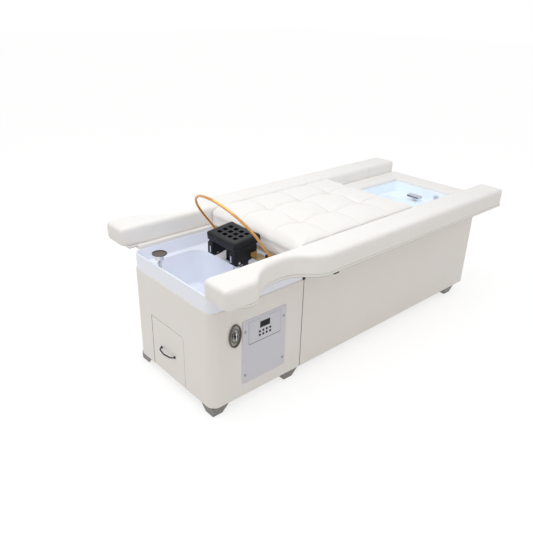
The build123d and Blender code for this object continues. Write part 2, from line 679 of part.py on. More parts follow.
def make_mattress():
    height = MATTRESS_EDGE_HEIGHT + MATTRESS_CROWN
    pad = Pos(0, 0, BOARD_TOP_Z) * extrude(mattress_plan(), amount=height)
    pad = fillet(pad.edges().filter_by(Axis.Z), MATTRESS_CORNER_RADIUS)
    across = Plane.YZ * crowned_profile(-MATTRESS_Y, MATTRESS_Y)
    along = Plane.XZ * crowned_profile(MATTRESS_X, MATTRESS_END_X)
    pad = pad & extrude(across, amount=BED_LENGTH * HALF, both=True)
    pad = pad & extrude(along, amount=ARMREST_OUTER_Y, both=True)
    groove_z = MATTRESS_TOP_Z - CHANNEL_DEPTH + CHANNEL_RADIUS
    for y in (-TUFT_HALF_SPACING, TUFT_HALF_SPACING):
        pad -= rod((MATTRESS_X - OVERRUN, y, groove_z), (1, 0, 0), MATTRESS_LENGTH + OVERRUN / HALF,
                   CHANNEL_RADIUS)
    for x in TUFT_XS:
        pad -= rod((x, -MATTRESS_Y - OVERRUN, groove_z), (0, 1, 0), (MATTRESS_Y + OVERRUN) / HALF,
                   CHANNEL_RADIUS)
        for y in (-TUFT_HALF_SPACING, TUFT_HALF_SPACING):
            pit = Cone(TUFT_PIT_RADIUS, TUFT_RADIUS, TUFT_DEPTH,
                       align=(Align.CENTER, Align.CENTER, Align.MIN))
            pad -= Pos(x, y, MATTRESS_TOP_Z - TUFT_DEPTH) * pit
    return pad


def make_mattress_board():
    half_width = SIDE_Y - BOARD_LAP - MATTRESS_GAP
    return block(MATTRESS_X + MATTRESS_BOARD_SETBACK, CAB_X + TRAY_START, -half_width, half_width,
                 BODY_TOP_Z, BOARD_TOP_Z)


# Foot tray

TRAY_X = CAB_X + TRAY_START
TRAY_MOUTH_X = CAB_X + TRAY_OPENING_START
TRAY_MOUTH_END_X = CAB_X + TRAY_OPENING_END
TRAY_TOP_Z = BOARD_TOP_Z + TRAY_PAD_HEIGHT
BATH_X = TRAY_MOUTH_X + BATH_LIP_SHOWN
BATH_END_X = TRAY_MOUTH_END_X - BATH_LIP_SHOWN
BATH_Y = TRAY_OPENING_HALF_WIDTH - BATH_LIP_SHOWN
BATH_LIP_Z = BOARD_TOP_Z + BATH_LIP_THICKNESS
BATH_SHELF_Z = BATH_LIP_Z - BATH_SHELF_DROP
BATH_BOWL_X = BATH_X + BATH_SHELF_SIDE
BATH_BOWL_END_X = BATH_END_X - BATH_SHELF_LENGTH
BATH_BOWL_Y = BATH_Y - BATH_SHELF_SIDE
BATH_FLOOR_Z = BATH_SHELF_Z - BATH_BOWL_DEPTH
BATH_WASTE_X = (BATH_BOWL_X + BATH_BOWL_END_X) * HALF


def bath_lip(margin, low_z, high_z):
    """The lip of the foot bath, or the rebate that takes it, grown by a margin."""
    reach = BATH_LIP_SHOWN + BATH_LIP_LAP + margin
    return rounded_block(BATH_X - reach, BATH_END_X + reach, -BATH_Y - reach, BATH_Y + reach, low_z, high_z,
                         BATH_CORNER_RADIUS + margin)


def make_tray_pad():
    frame = block(TRAY_X + MATTRESS_GAP, FOOT_X, -MATTRESS_Y, MATTRESS_Y, BOARD_TOP_Z, TRAY_TOP_Z)
    frame = fillet(upright_edges(frame, -1), TRAY_CORNER_RADIUS)
    frame -= rounded_block(TRAY_MOUTH_X, TRAY_MOUTH_END_X, -TRAY_OPENING_HALF_WIDTH,
                           TRAY_OPENING_HALF_WIDTH, BOARD_TOP_Z - OVERRUN, TRAY_TOP_Z + OVERRUN,
                           TRAY_CORNER_RADIUS)
    frame = fillet(frame.faces().sort_by(Axis.Z)[-1].edges(), TRAY_PAD_ROUND)
    return frame - bath_lip(SEAT_GAP, BOARD_TOP_Z - OVERRUN, BATH_LIP_Z)


def make_tray_board():
    half_width = SIDE_Y - BOARD_LAP - MATTRESS_GAP
    board = block(TRAY_X, FOOT_X - BOARD_INSET, -half_width, half_width, BODY_TOP_Z, BOARD_TOP_Z)
    margin = BATH_WALL + MATTRESS_GAP
    return board - rounded_block(BATH_X - margin, BATH_END_X + margin, -BATH_Y - margin, BATH_Y + margin,
                                 BODY_TOP_Z - OVERRUN, BOARD_TOP_Z + OVERRUN, BATH_CORNER_RADIUS)


def make_foot_bath():
    tub = bath_lip(0, BOARD_TOP_Z, BATH_LIP_Z)
    tub += rounded_block(BATH_X - BATH_WALL, BATH_END_X + BATH_WALL, -BATH_Y - BATH_WALL,
                         BATH_Y + BATH_WALL, BATH_SHELF_Z - BATH_WALL, BOARD_TOP_Z,
                         BATH_CORNER_RADIUS)
    tub += tapered_bowl(BATH_BOWL_X - BATH_WALL, BATH_BOWL_END_X + BATH_WALL, BATH_BOWL_Y + BATH_WALL,
                        BATH_SHELF_Z, BATH_BOWL_DEPTH + BATH_WALL, BATH_BOWL_RADIUS + BATH_WALL,
                        BATH_TAPER, BATH_FLOOR_ROUND + BATH_WALL)
    tub -= rounded_block(BATH_X, BATH_END_X, -BATH_Y, BATH_Y, BATH_SHELF_Z, BATH_LIP_Z + OVERRUN,
                         BATH_CORNER_RADIUS - BATH_WALL)
    tub -= tapered_bowl(BATH_BOWL_X, BATH_BOWL_END_X, BATH_BOWL_Y, BATH_SHELF_Z, BATH_BOWL_DEPTH,
                        BATH_BOWL_RADIUS, BATH_TAPER, BATH_FLOOR_ROUND)
    tub -= rod((BATH_WASTE_X, 0, BATH_FLOOR_Z - BATH_WALL - OVERRUN), (0, 0, 1),
               BATH_WALL + OVERRUN / HALF, WASTE_HOLE_RADIUS)
    tub -= rod((BATH_END_X - OVERRUN, DIAL_Y, DIAL_Z), (1, 0, 0), BATH_WALL + OVERRUN / HALF,
               DIAL_SHAFT_RADIUS + RUNNING_CLEARANCE)
    return tub


# Head basin

BASIN_X = CAB_X + BASIN_INSET
BASIN_END_X = SEAM_X - BASIN_SEAM_GAP
BASIN_Y = SIDE_Y - BASIN_INSET
LEDGE_Z = BODY_TOP_Z - BASIN_LEDGE_DROP
BOWL_X = CAB_X + BOWL_START
BOWL_END_X = BOWL_X + BOWL_LENGTH
BOWL_FLOOR_Z = LEDGE_Z - BOWL_DEPTH
HEAD_WASTE_X = BOWL_END_X - HEAD_WASTE_FROM_BOWL_END
HEAD_DRAIN_Z = BOWL_FLOOR_Z - HEAD_DRAIN_DROP


def make_head_basin():
    basin = block(BASIN_X, BASIN_END_X, -BASIN_Y, BASIN_Y, CAB_TOP_Z, BODY_TOP_Z)
    basin = fillet(upright_edges(basin, 0), CABINET_CORNER_RADIUS - BASIN_INSET)
    under = block(BASIN_X + BASIN_SKIRT, BASIN_END_X - BASIN_SKIRT, BASIN_SKIRT - BASIN_Y,
                  BASIN_Y - BASIN_SKIRT, CAB_TOP_Z - OVERRUN, LEDGE_Z - BASIN_LEDGE_THICKNESS)
    basin -= fillet(upright_edges(under, 0), CABINET_CORNER_RADIUS - BASIN_INSET - BASIN_SKIRT)
    basin += tapered_bowl(BOWL_X - BOWL_WALL, BOWL_END_X + BOWL_WALL, BOWL_HALF_WIDTH + BOWL_WALL,
                          LEDGE_Z, BOWL_DEPTH + BOWL_WALL, BOWL_RADIUS + BOWL_WALL, BOWL_TAPER,
                          BOWL_FLOOR_ROUND + BOWL_WALL)
    basin -= rounded_block(BASIN_X + BASIN_RIM_WIDTH, BASIN_END_X - BASIN_RIM_WIDTH,
                           BASIN_RIM_WIDTH - BASIN_Y, BASIN_Y - BASIN_RIM_WIDTH, LEDGE_Z,
                           BODY_TOP_Z + OVERRUN, BASIN_LEDGE_RADIUS)
    basin = fillet(basin.faces().sort_by(Axis.Z)[-1].edges(), BASIN_RIM_ROUND)
    basin -= tapered_bowl(BOWL_X, BOWL_END_X, BOWL_HALF_WIDTH, LEDGE_Z, BOWL_DEPTH, BOWL_RADIUS,
                          BOWL_TAPER, BOWL_FLOOR_ROUND)
    level_faces = basin.faces().filter_by(Axis.Z)
    ledge = min(level_faces, key=lambda face: abs(face.center().Z - LEDGE_Z))
    basin = fillet(ledge.edges(), BASIN_LEDGE_ROUND)
    basin -= rod((HEAD_WASTE_X, 0, BOWL_FLOOR_Z - BOWL_WALL - OVERRUN), (0, 0, 1),
                 BOWL_WALL + OVERRUN / HALF, WASTE_HOLE_RADIUS)
    basin -= rod((SPOUT_X, SPOUT_Y, LEDGE_Z - BASIN_LEDGE_THICKNESS - OVERRUN), (0, 0, 1),
                 BASIN_LEDGE_THICKNESS + OVERRUN / HALF, SPOUT_STEM_RADIUS + SEAT_GAP)
    return basin


# Drains and supply

def make_waste(x, floor_z):
    """A waste fitting: a flange with a ring of slots on a threaded tail."""
    flange = rod((x, 0, floor_z), (0, 0, 1), WASTE_FLANGE_THICKNESS, WASTE_FLANGE_RADIUS)
    flange = fillet(flange.edges().group_by(Axis.Z)[-1], WASTE_FLANGE_THICKNESS * HALF)
    tail_radius = WASTE_HOLE_RADIUS - SEAT_GAP
    waste = flange + rod((x, 0, floor_z), (0, 0, -1), WASTE_TAIL_LENGTH, tail_radius)
    waste -= rod((x, 0, floor_z), (0, 0, -1), WASTE_TAIL_LENGTH + OVERRUN, tail_radius - PIPE_WALL)
    for i in range(WASTE_SLOTS):
        angle = 2 * math.pi * i / WASTE_SLOTS
        place = (x + WASTE_SLOT_RING * math.cos(angle), WASTE_SLOT_RING * math.sin(angle),
                 floor_z - OVERRUN)
        waste -= rod(place, (0, 0, 1), WASTE_FLANGE_THICKNESS + OVERRUN / HALF, WASTE_SLOT_RADIUS)
    return waste


def waste_socket(x, floor_z, wall):
    """The pipe socket that screws onto a waste tail, under the floor of a basin."""
    top_z = floor_z - wall
    depth = WASTE_TAIL_LENGTH - wall + PIPE_HOLE_MARGIN
    socket = rod((x, 0, top_z), (0, 0, -1), depth, PIPE_SOCKET_RADIUS)
    socket -= rod((x, 0, top_z), (0, 0, -1), WASTE_TAIL_LENGTH - wall + SEAT_GAP, WASTE_HOLE_RADIUS)
    return socket - rod((x, 0, top_z), (0, 0, -1), depth + OVERRUN, PIPE_RADIUS - PIPE_WALL), top_z - depth


def make_head_drain_pipe():
    socket, end_z = waste_socket(HEAD_WASTE_X, BOWL_FLOOR_Z, BOWL_WALL)
    route = [(HEAD_WASTE_X, 0, end_z), (HEAD_WASTE_X, 0, HEAD_DRAIN_Z), (OUTLET_X, 0, HEAD_DRAIN_Z),
             (OUTLET_X, 0, OUTLET_Z)]
    return socket + pipe(route, PIPE_BEND, PIPE_RADIUS, PIPE_WALL)


def make_foot_drain_pipe():
    socket, end_z = waste_socket(BATH_WASTE_X, BATH_FLOOR_Z, BATH_WALL)
    route = [(BATH_WASTE_X, 0, end_z), (BATH_WASTE_X, 0, FOOT_DRAIN_Z), (PUMP_FACE_X, 0, FOOT_DRAIN_Z)]
    return socket + pipe(route, PIPE_BEND, PIPE_RADIUS, PIPE_WALL)


TANK_X = SEAM_X + TANK_FROM_SEAM
TANK_END_X = TANK_X + TANK_LENGTH
TANK_FLOOR_Z = FLOOR_Z + WALL
SUPPLY_LOW_Z = TANK_FLOOR_Z + TANK_HEIGHT - SUPPLY_FROM_TANK_TOP
PUMP_X = TANK_END_X + PUMP_GAP
PUMP_FACE_X = PUMP_X + PUMP_MOTOR_LENGTH + PUMP_VOLUTE_LENGTH
PUMP_Z = FOOT_DRAIN_Z


def make_water_tank():
    tank = block(TANK_X, TANK_END_X, -TANK_HALF_WIDTH, TANK_HALF_WIDTH, TANK_FLOOR_Z,
                 TANK_FLOOR_Z + TANK_HEIGHT)
    tank = fillet(tank.edges().filter_by(Axis.Z), TANK_RADIUS)
    tank = fillet(tank.faces().sort_by(Axis.Z)[-1].edges(), TANK_RADIUS * HALF)
    centre_x = (TANK_X + TANK_END_X) * HALF
    return tank + rod((centre_x, 0, TANK_FLOOR_Z + TANK_HEIGHT - OVERRUN), (0, 0, 1),
                      TANK_CAP_HEIGHT + OVERRUN, TANK_CAP_RADIUS)


def make_pump():
    base_half = PUMP_BASE_WIDTH * HALF
    base = block(PUMP_X, PUMP_FACE_X, -base_half, base_half, TANK_FLOOR_Z,
                 TANK_FLOOR_Z + PUMP_BASE_THICKNESS)
    web_half = PUMP_BASE_THICKNESS
    web = block(PUMP_X + PUMP_BASE_THICKNESS, PUMP_FACE_X - PUMP_BASE_THICKNESS, -web_half, web_half,
                TANK_FLOOR_Z, PUMP_Z)
    motor = rod((PUMP_X, 0, PUMP_Z), (1, 0, 0), PUMP_MOTOR_LENGTH, PUMP_MOTOR_RADIUS)
    volute = rod((PUMP_X + PUMP_MOTOR_LENGTH, 0, PUMP_Z), (1, 0, 0), PUMP_VOLUTE_LENGTH, PUMP_VOLUTE_RADIUS)
    port = rod((TANK_END_X, 0, PUMP_Z), (1, 0, 0), PUMP_GAP + OVERRUN, PUMP_PORT_RADIUS)
    return base + web + motor + volute + port


def make_supply_pipe():
    ledge_z = LEDGE_Z - BASIN_LEDGE_THICKNESS - SUPPLY_UNDER_LEDGE
    start_y = TANK_HALF_WIDTH - TANK_RADIUS - SUPPLY_RADIUS / HALF
    turn_x = TANK_X - SUPPLY_BEND / HALF
    route = [(TANK_X, start_y, SUPPLY_LOW_Z), (turn_x, start_y, SUPPLY_LOW_Z),
             (turn_x, SUPPLY_Y, SUPPLY_LOW_Z), (SPOUT_X, SUPPLY_Y, SUPPLY_LOW_Z),
             (SPOUT_X, SUPPLY_Y, ledge_z), (SPOUT_X, SPOUT_Y, ledge_z)]
    tube = pipe(route, SUPPLY_BEND, SUPPLY_RADIUS, SUPPLY_WALL)
    elbow_length = SUPPLY_UNDER_LEDGE - SPOUT_TAIL_LENGTH + BASIN_LEDGE_THICKNESS + SUPPLY_RADIUS
    elbow = rod((SPOUT_X, SPOUT_Y, ledge_z - SUPPLY_RADIUS), (0, 0, 1), elbow_length,
                SPOUT_STEM_RADIUS + SUPPLY_WALL)
    return tube + elbow


def make_gland():
    gland = rod((GLAND_X, GLAND_Y, FLOOR_Z - GLAND_DROP), (0, 0, 1),
                GLAND_DROP + WALL + GLAND_NUT_THICKNESS, GLAND_RADIUS - SEAT_GAP)
    nut = extrude(RegularPolygon(GLAND_NUT_RADIUS, 6), GLAND_NUT_THICKNESS)
    for low_z in (FLOOR_Z - GLAND_NUT_THICKNESS, TANK_FLOOR_Z):
        gland += Pos(GLAND_X, GLAND_Y, low_z) * nut
    return gland - rod((GLAND_X, GLAND_Y, FLOOR_Z - GLAND_DROP - OVERRUN), (0, 0, 1),
                       (GLAND_DROP + WALL + OVERRUN) / HALF, GLAND_BORE)


# Drawer

DRAWER_BACK_X = HEAD_WASTE_X - PIPE_SOCKET_RADIUS - DRAWER_TO_DRAIN
BOX_LOW_Z = FLOOR_Z + DRAWER_BOX_LIFT
DRAWER_BOX_MIN_Y = DRAWER_MIN_Y + DRAWER_SIDE_MARGIN + SLIDE_THICKNESS + RUNNER_WALL + SLIDE_CLEARANCE
DRAWER_BOX_MAX_Y = DRAWER_MAX_Y - DRAWER_SIDE_MARGIN - SLIDE_THICKNESS - RUNNER_WALL - SLIDE_CLEARANCE
DRAWER_CENTRE_Y = (DRAWER_MIN_Y + DRAWER_MAX_Y) * HALF
HANDLE_Z = FLOOR_Z + DRAWER_HEIGHT * HANDLE_Z_SHARE
SLIDE_Z = BOX_LOW_Z + SLIDE_CENTRE_LIFT


def make_drawer_front():
    front = drawer_front_shape(0, CAB_X, CAB_X + WALL, FLOOR_Z + DRAWER_BOTTOM_GAP)
    front = fillet(front.faces().sort_by(Axis.X)[0].edges(), DRAWER_FRONT_ROUND)
    for y in handle_ys():
        front -= rod((CAB_X - OVERRUN, y, HANDLE_Z), (1, 0, 0), WALL + OVERRUN / HALF, HANDLE_SCREW_RADIUS)
    return front


def handle_ys():
    """The two places across the drawer front where the handle stands."""
    return (DRAWER_CENTRE_Y - HANDLE_SPAN * HALF, DRAWER_CENTRE_Y + HANDLE_SPAN * HALF)


def make_drawer_box():
    low = (DRAWER_BOX_MIN_Y, BOX_LOW_Z)
    high = (DRAWER_BOX_MAX_Y, BOX_LOW_Z + DRAWER_BOX_HEIGHT)
    box = block(CAB_X + WALL, DRAWER_BACK_X, low[0], high[0], low[1], high[1])
    box -= block(CAB_X + WALL + DRAWER_SIDE, DRAWER_BACK_X - DRAWER_SIDE, low[0] + DRAWER_SIDE,
                 high[0] - DRAWER_SIDE, low[1] + DRAWER_SIDE, high[1] + OVERRUN)
    for y in handle_ys():
        box -= rod((CAB_X + WALL - OVERRUN, y, HANDLE_Z), (1, 0, 0), HANDLE_SCREW_HEAD + OVERRUN,
                   HANDLE_SCREW_HEAD_RADIUS + SEAT_GAP)
    return box


def make_handle():
    first_y, last_y = handle_ys()
    stand_x = CAB_X - HANDLE_RISE
    bow_x = stand_x + HANDLE_BOW
    corner = HANDLE_BOW
    turn = math.pi / 4
    turn_x = bow_x - corner * math.sin(turn)
    turn_in = corner * (1 - math.cos(turn))
    path = Line((CAB_X, first_y, HANDLE_Z), (bow_x, first_y, HANDLE_Z))
    path += ThreePointArc((bow_x, first_y, HANDLE_Z), (turn_x, first_y + turn_in, HANDLE_Z),
                          (stand_x, first_y + corner, HANDLE_Z))
    path += Line((stand_x, first_y + corner, HANDLE_Z), (stand_x, last_y - corner, HANDLE_Z))
    path += ThreePointArc((stand_x, last_y - corner, HANDLE_Z), (turn_x, last_y - turn_in, HANDLE_Z),
                          (bow_x, last_y, HANDLE_Z))
    path += Line((bow_x, last_y, HANDLE_Z), (CAB_X, last_y, HANDLE_Z))
    section = Plane(origin=(CAB_X, first_y, HANDLE_Z), z_dir=(-1, 0, 0)) * Circle(HANDLE_RADIUS)
    bar = sweep(section, path=path)
    for y in (first_y, last_y):
        bar += rod((CAB_X, y, HANDLE_Z), (-1, 0, 0), HANDLE_FOOT_THICKNESS, HANDLE_FOOT_RADIUS)
    return bar


def make_handle_screws():
    screws = []
    for y in handle_ys():
        shank = rod((CAB_X, y, HANDLE_Z), (1, 0, 0), WALL, HANDLE_SCREW_RADIUS)
        screws.append(shank + rod((CAB_X + WALL, y, HANDLE_Z), (1, 0, 0), HANDLE_SCREW_HEAD,
                                  HANDLE_SCREW_HEAD_RADIUS))
    return group(screws)


def make_slides():
    """The moving bar on each side of the drawer box."""
    bars = []
    for y, side in ((DRAWER_BOX_MIN_Y, -1), (DRAWER_BOX_MAX_Y, 1)):
        outer_y = y + side * SLIDE_THICKNESS
        bars.append(block(CAB_X + WALL, DRAWER_BACK_X, min(y, outer_y), max(y, outer_y),
                          SLIDE_Z - SLIDE_HEIGHT * HALF, SLIDE_Z + SLIDE_HEIGHT * HALF))
    return group(bars)


def make_runners():
    """The fixed channel round each moving bar, on a bent foot that stands on the cabinet floor."""
    channels = []
    inner_half = SLIDE_HEIGHT * HALF + SLIDE_CLEARANCE
    outer_half = inner_half + RUNNER_WALL
    start_x = CAB_X + WALL + SEAT_GAP
    for y, side in ((DRAWER_BOX_MIN_Y, -1), (DRAWER_BOX_MAX_Y, 1)):
        near_y = y + side * SLIDE_CLEARANCE
        face_y = y + side * (SLIDE_THICKNESS + SLIDE_CLEARANCE)
        back_y = face_y + side * RUNNER_WALL
        foot_y = face_y + side * RUNNER_FOOT_WIDTH
        channel = block(start_x, DRAWER_BACK_X, min(near_y, back_y), max(near_y, back_y),
                        SLIDE_Z - outer_half, SLIDE_Z + outer_half)
        channel -= block(start_x - OVERRUN, DRAWER_BACK_X + OVERRUN, min(near_y - side * OVERRUN, face_y),
                         max(near_y - side * OVERRUN, face_y), SLIDE_Z - inner_half, SLIDE_Z + inner_half)
        web = block(start_x, DRAWER_BACK_X, min(face_y, back_y), max(face_y, back_y), FLOOR_Z + WALL,
                    SLIDE_Z - outer_half)
        foot = block(start_x, DRAWER_BACK_X, min(face_y, foot_y), max(face_y, foot_y), FLOOR_Z + WALL,
                     FLOOR_Z + WALL + RUNNER_WALL)
        channels.append(channel + web + foot)
    return group(channels)


# Feet and under-frame

def foot_corners():
    """The outer corner of each foot on the -Y side."""
    return [(CAB_X + FOOT_INSET, -SIDE_Y + FOOT_INSET),
            (SEAM_X - MIDDLE_FOOT_FROM_SEAM, -SIDE_Y + FOOT_INSET),
            (FOOT_X - TAIL_FOOT_FROM_END, -SIDE_Y + FOOT_INSET)]


def foot_side():
    """The side view of one arm of a foot: flat on the floor, then rising to a thin tip."""
    points = [(0, GLIDE_THICKNESS), (FOOT_FLAT, GLIDE_THICKNESS), (FOOT_ARM, FOOT_HEIGHT - FOOT_TIP),
              (FOOT_ARM, FOOT_HEIGHT), (0, FOOT_HEIGHT)]
    return Face(Wire(Polyline(*points, close=True).edges()))


def make_foot(x, y):
    along = extrude(Plane.XZ * foot_side(), amount=-FOOT_THICKNESS)
    across = extrude(Plane.YZ * foot_side(), amount=FOOT_THICKNESS)
    plate = block(0, BOLT_INSET + BOLT_HEAD_RADIUS / HALF, 0, BOLT_INSET + BOLT_HEAD_RADIUS / HALF,
                  FOOT_HEIGHT - FOOT_PLATE, FOOT_HEIGHT)
    foot = along + across + plate
    foot -= rod((BOLT_INSET, BOLT_INSET, 0), (0, 0, 1), FOOT_HEIGHT + OVERRUN, BOLT_RADIUS)
    corner_edges = foot.edges().filter_by(Axis.Z).sort_by_distance((0, 0, FOOT_HEIGHT * HALF))
    return Pos(x, y, 0) * fillet(corner_edges[0], FOOT_THICKNESS * HALF)


def make_glide(x, y):
    arm = FOOT_FLAT - GLIDE_INSET
    depth = FOOT_THICKNESS - GLIDE_INSET
    glide = block(GLIDE_INSET, arm, GLIDE_INSET, depth, 0, GLIDE_THICKNESS)
    glide += block(GLIDE_INSET, depth, GLIDE_INSET, arm, 0, GLIDE_THICKNESS)
    return Pos(x, y, 0) * glide


def make_bolt(x, y):
    place = (x + BOLT_INSET, y + BOLT_INSET, FOOT_HEIGHT - FOOT_PLATE - BOLT_HEAD_HEIGHT)
    head = rod(place, (0, 0, 1), BOLT_HEAD_HEIGHT, BOLT_HEAD_RADIUS)
    return head + rod(place, (0, 0, 1), BOLT_HEAD_HEIGHT + FOOT_PLATE, BOLT_RADIUS)


def at_each_corner(make):
    """One copy of a foot piece at each of the six corners."""
    singles = [make(x, y) for x, y in foot_corners()]
    return group(singles + [mirrored(piece) for piece in singles])


FRAME_START_X = CAB_X + FRAME_END_INSET
FRAME_STOP_X = FOOT_X - FRAME_END_INSET
FRAME_LOW_Z = FOOT_HEIGHT - FRAME_TUBE_HEIGHT


def box_tube(x0, x1, y0, y1, axis):
    """A rectangular steel tube under the bed, open at its ends."""
    tube = block(x0, x1, y0, y1, FRAME_LOW_Z, FOOT_HEIGHT)
    lengthwise = OVERRUN if axis == Axis.X else -FRAME_TUBE_WALL
    crosswise = OVERRUN if axis == Axis.Y else -FRAME_TUBE_WALL
    return tube - block(x0 - lengthwise, x1 + lengthwise, y0 - crosswise, y1 + crosswise,
                        FRAME_LOW_Z + FRAME_TUBE_WALL, FOOT_HEIGHT - FRAME_TUBE_WALL)


def make_under_frame():
    """Two long steel tubes with tubes welded across between them."""
    half_tube = FRAME_TUBE_WIDTH * HALF
    rail = box_tube(FRAME_START_X, FRAME_STOP_X, FRAME_Y - half_tube, FRAME_Y + half_tube, Axis.X)
    frame = rail + mirrored(rail)
    inner_y = FRAME_Y - half_tube
    step = (FRAME_STOP_X - FRAME_START_X - FRAME_TUBE_WIDTH) / (FRAME_CROSSBARS - 1)
    for i in range(FRAME_CROSSBARS):
        start_x = FRAME_START_X + step * i
        frame += box_tube(start_x, start_x + FRAME_TUBE_WIDTH, -inner_y, inner_y, Axis.Y)
    return frame


# Control panel. Its pieces are stacked inwards from the cabinet's side, along +Y.

PLATE_FACE_Y = -SIDE_Y - PLATE_THICKNESS
OVERLAY_FACE_Y = PLATE_FACE_Y - OVERLAY_THICKNESS
OVERLAY_X = PLATE_X + (PLATE_WIDTH - OVERLAY_WIDTH) * HALF
OVERLAY_Z = PLATE_Z + OVERLAY_BOTTOM
OVERLAY_TOP_Z = PLATE_Z + PLATE_HEIGHT - OVERLAY_TOP_MARGIN
DISPLAY_X = PLATE_X + DISPLAY_FROM_SIDE
DISPLAY_Z = PLATE_Z + DISPLAY_BOTTOM
BUTTON_BACK_Y = -SIDE_Y + BUTTON_FLANGE_THICKNESS
CIRCUIT_Y = BUTTON_BACK_Y + BUTTON_TRAVEL + BUTTON_BACK_GAP + KEY_HEIGHT


def button_places():
    """The button centres, row by row from the top."""
    first_x = PLATE_X + BUTTON_FROM_SIDE
    top_z = PLATE_Z + BUTTON_TOP_ROW
    return [(first_x + BUTTON_PITCH_X * column, top_z - BUTTON_PITCH_Z * row)
            for row in range(BUTTON_ROWS) for column in range(BUTTON_COLUMNS)]


def panel_holes():
    """Everything that passes through the plate and its overlay."""
    depth = PLATE_THICKNESS + OVERLAY_THICKNESS + OVERRUN / HALF
    start_y = OVERLAY_FACE_Y - OVERRUN
    holes = block(DISPLAY_X, DISPLAY_X + DISPLAY_WIDTH, start_y, start_y + depth, DISPLAY_Z,
                  DISPLAY_Z + DISPLAY_HEIGHT)
    for x, z in button_places():
        holes += rod((x, start_y, z), (0, 1, 0), depth, BUTTON_RADIUS + BUTTON_GAP)
    return holes


def make_control_plate():
    plate = block(PLATE_X, PLATE_X + PLATE_WIDTH, PLATE_FACE_Y, -SIDE_Y, PLATE_Z, PLATE_Z + PLATE_HEIGHT)
    plate = fillet(plate.edges().filter_by(Axis.Y), PLATE_CORNER_RADIUS)
    plate = chamfer(plate.faces().sort_by(Axis.Y)[0].edges(), PLATE_BEVEL)
    plate -= panel_holes()
    for x, z in panel_screw_places():
        plate -= rod((x, PLATE_FACE_Y - OVERRUN, z), (0, 1, 0), PLATE_THICKNESS + OVERRUN / HALF,
                     PANEL_SCREW_RADIUS)
    return plate


def make_overlay():
    film = block(OVERLAY_X, OVERLAY_X + OVERLAY_WIDTH, OVERLAY_FACE_Y, PLATE_FACE_Y, OVERLAY_Z,
                 OVERLAY_TOP_Z)
    return film - panel_holes()


def make_display():
    window = block(DISPLAY_X, DISPLAY_X + DISPLAY_WIDTH, OVERLAY_FACE_Y - DISPLAY_PROUD,
                   OVERLAY_FACE_Y - DISPLAY_PROUD + DISPLAY_DEPTH + PLATE_THICKNESS, DISPLAY_Z,
                   DISPLAY_Z + DISPLAY_HEIGHT)
    return fillet(window.edges().filter_by(Axis.Y), DISPLAY_PROUD)


def make_button(x, z):
    face_y = OVERLAY_FACE_Y - BUTTON_PROUD
    cap = rod((x, face_y, z), (0, 1, 0), -SIDE_Y - face_y, BUTTON_RADIUS)
    cap = fillet(cap.edges().group_by(Axis.Y)[0], BUTTON_ROUND)
    cap += rod((x, -SIDE_Y + SEAT_GAP, z), (0, 1, 0), BUTTON_FLANGE_THICKNESS - SEAT_GAP,
               BUTTON_RADIUS + BUTTON_FLANGE)
    return cap + rod((x, face_y + BUTTON_ROUND, z), (0, 1, 0), BUTTON_BACK_Y - face_y - BUTTON_ROUND,
                     BUTTON_RADIUS)


def make_circuit_board():
    margin = BOX_WALL + BOARD_MARGIN
    board = block(BOX_X + margin, BOX_X + BOX_WIDTH - margin, CIRCUIT_Y, CIRCUIT_Y + CIRCUIT_THICKNESS,
                  BOX_Z + margin, BOX_Z + BOX_HEIGHT - margin)
    for x, z in button_places():
        board += block(x - KEY_HALF_WIDTH, x + KEY_HALF_WIDTH, CIRCUIT_Y - KEY_HEIGHT, CIRCUIT_Y,
                       z - KEY_HALF_WIDTH, z + KEY_HALF_WIDTH)
    for x in (BOX_X + margin, BOX_X + BOX_WIDTH - margin - BOARD_MARGIN):
        for z in (BOX_Z + margin, BOX_Z + BOX_HEIGHT - margin - BOARD_MARGIN):
            board += block(x, x + BOARD_MARGIN, CIRCUIT_Y, BOX_DEPTH - SIDE_Y - BOX_WALL, z,
                           z + BOARD_MARGIN)
    return board


def make_control_box():
    box = block(BOX_X, BOX_X + BOX_WIDTH, -SIDE_Y, BOX_DEPTH - SIDE_Y, BOX_Z, BOX_Z + BOX_HEIGHT)
    return box - block(BOX_X + BOX_WALL, BOX_X + BOX_WIDTH - BOX_WALL, -SIDE_Y - OVERRUN,
                       BOX_DEPTH - SIDE_Y - BOX_WALL, BOX_Z + BOX_WALL, BOX_Z + BOX_HEIGHT - BOX_WALL)


def make_panel_screws():
    screws = []
    for x, z in panel_screw_places():
        shank = rod((x, PLATE_FACE_Y, z), (0, 1, 0), PANEL_SCREW_LENGTH, PANEL_SCREW_RADIUS)
        head = rod((x, PLATE_FACE_Y, z), (0, -1, 0), PANEL_SCREW_DOME, PANEL_SCREW_HEAD)
        screws.append(shank + fillet(head.edges().group_by(Axis.Y)[0], PANEL_SCREW_DOME * HALF))
    return group(screws)


# Mixer tap

def oval(half_width, half_height, start_y, depth):
    """An oval slab that stands out from the cabinet side, towards -Y."""
    face = Plane(origin=(MIXER_X, start_y, MIXER_Z), x_dir=(1, 0, 0), z_dir=(0, -1, 0))
    sketch = face * Ellipse(half_width, half_height)
    return extrude(sketch, amount=depth)


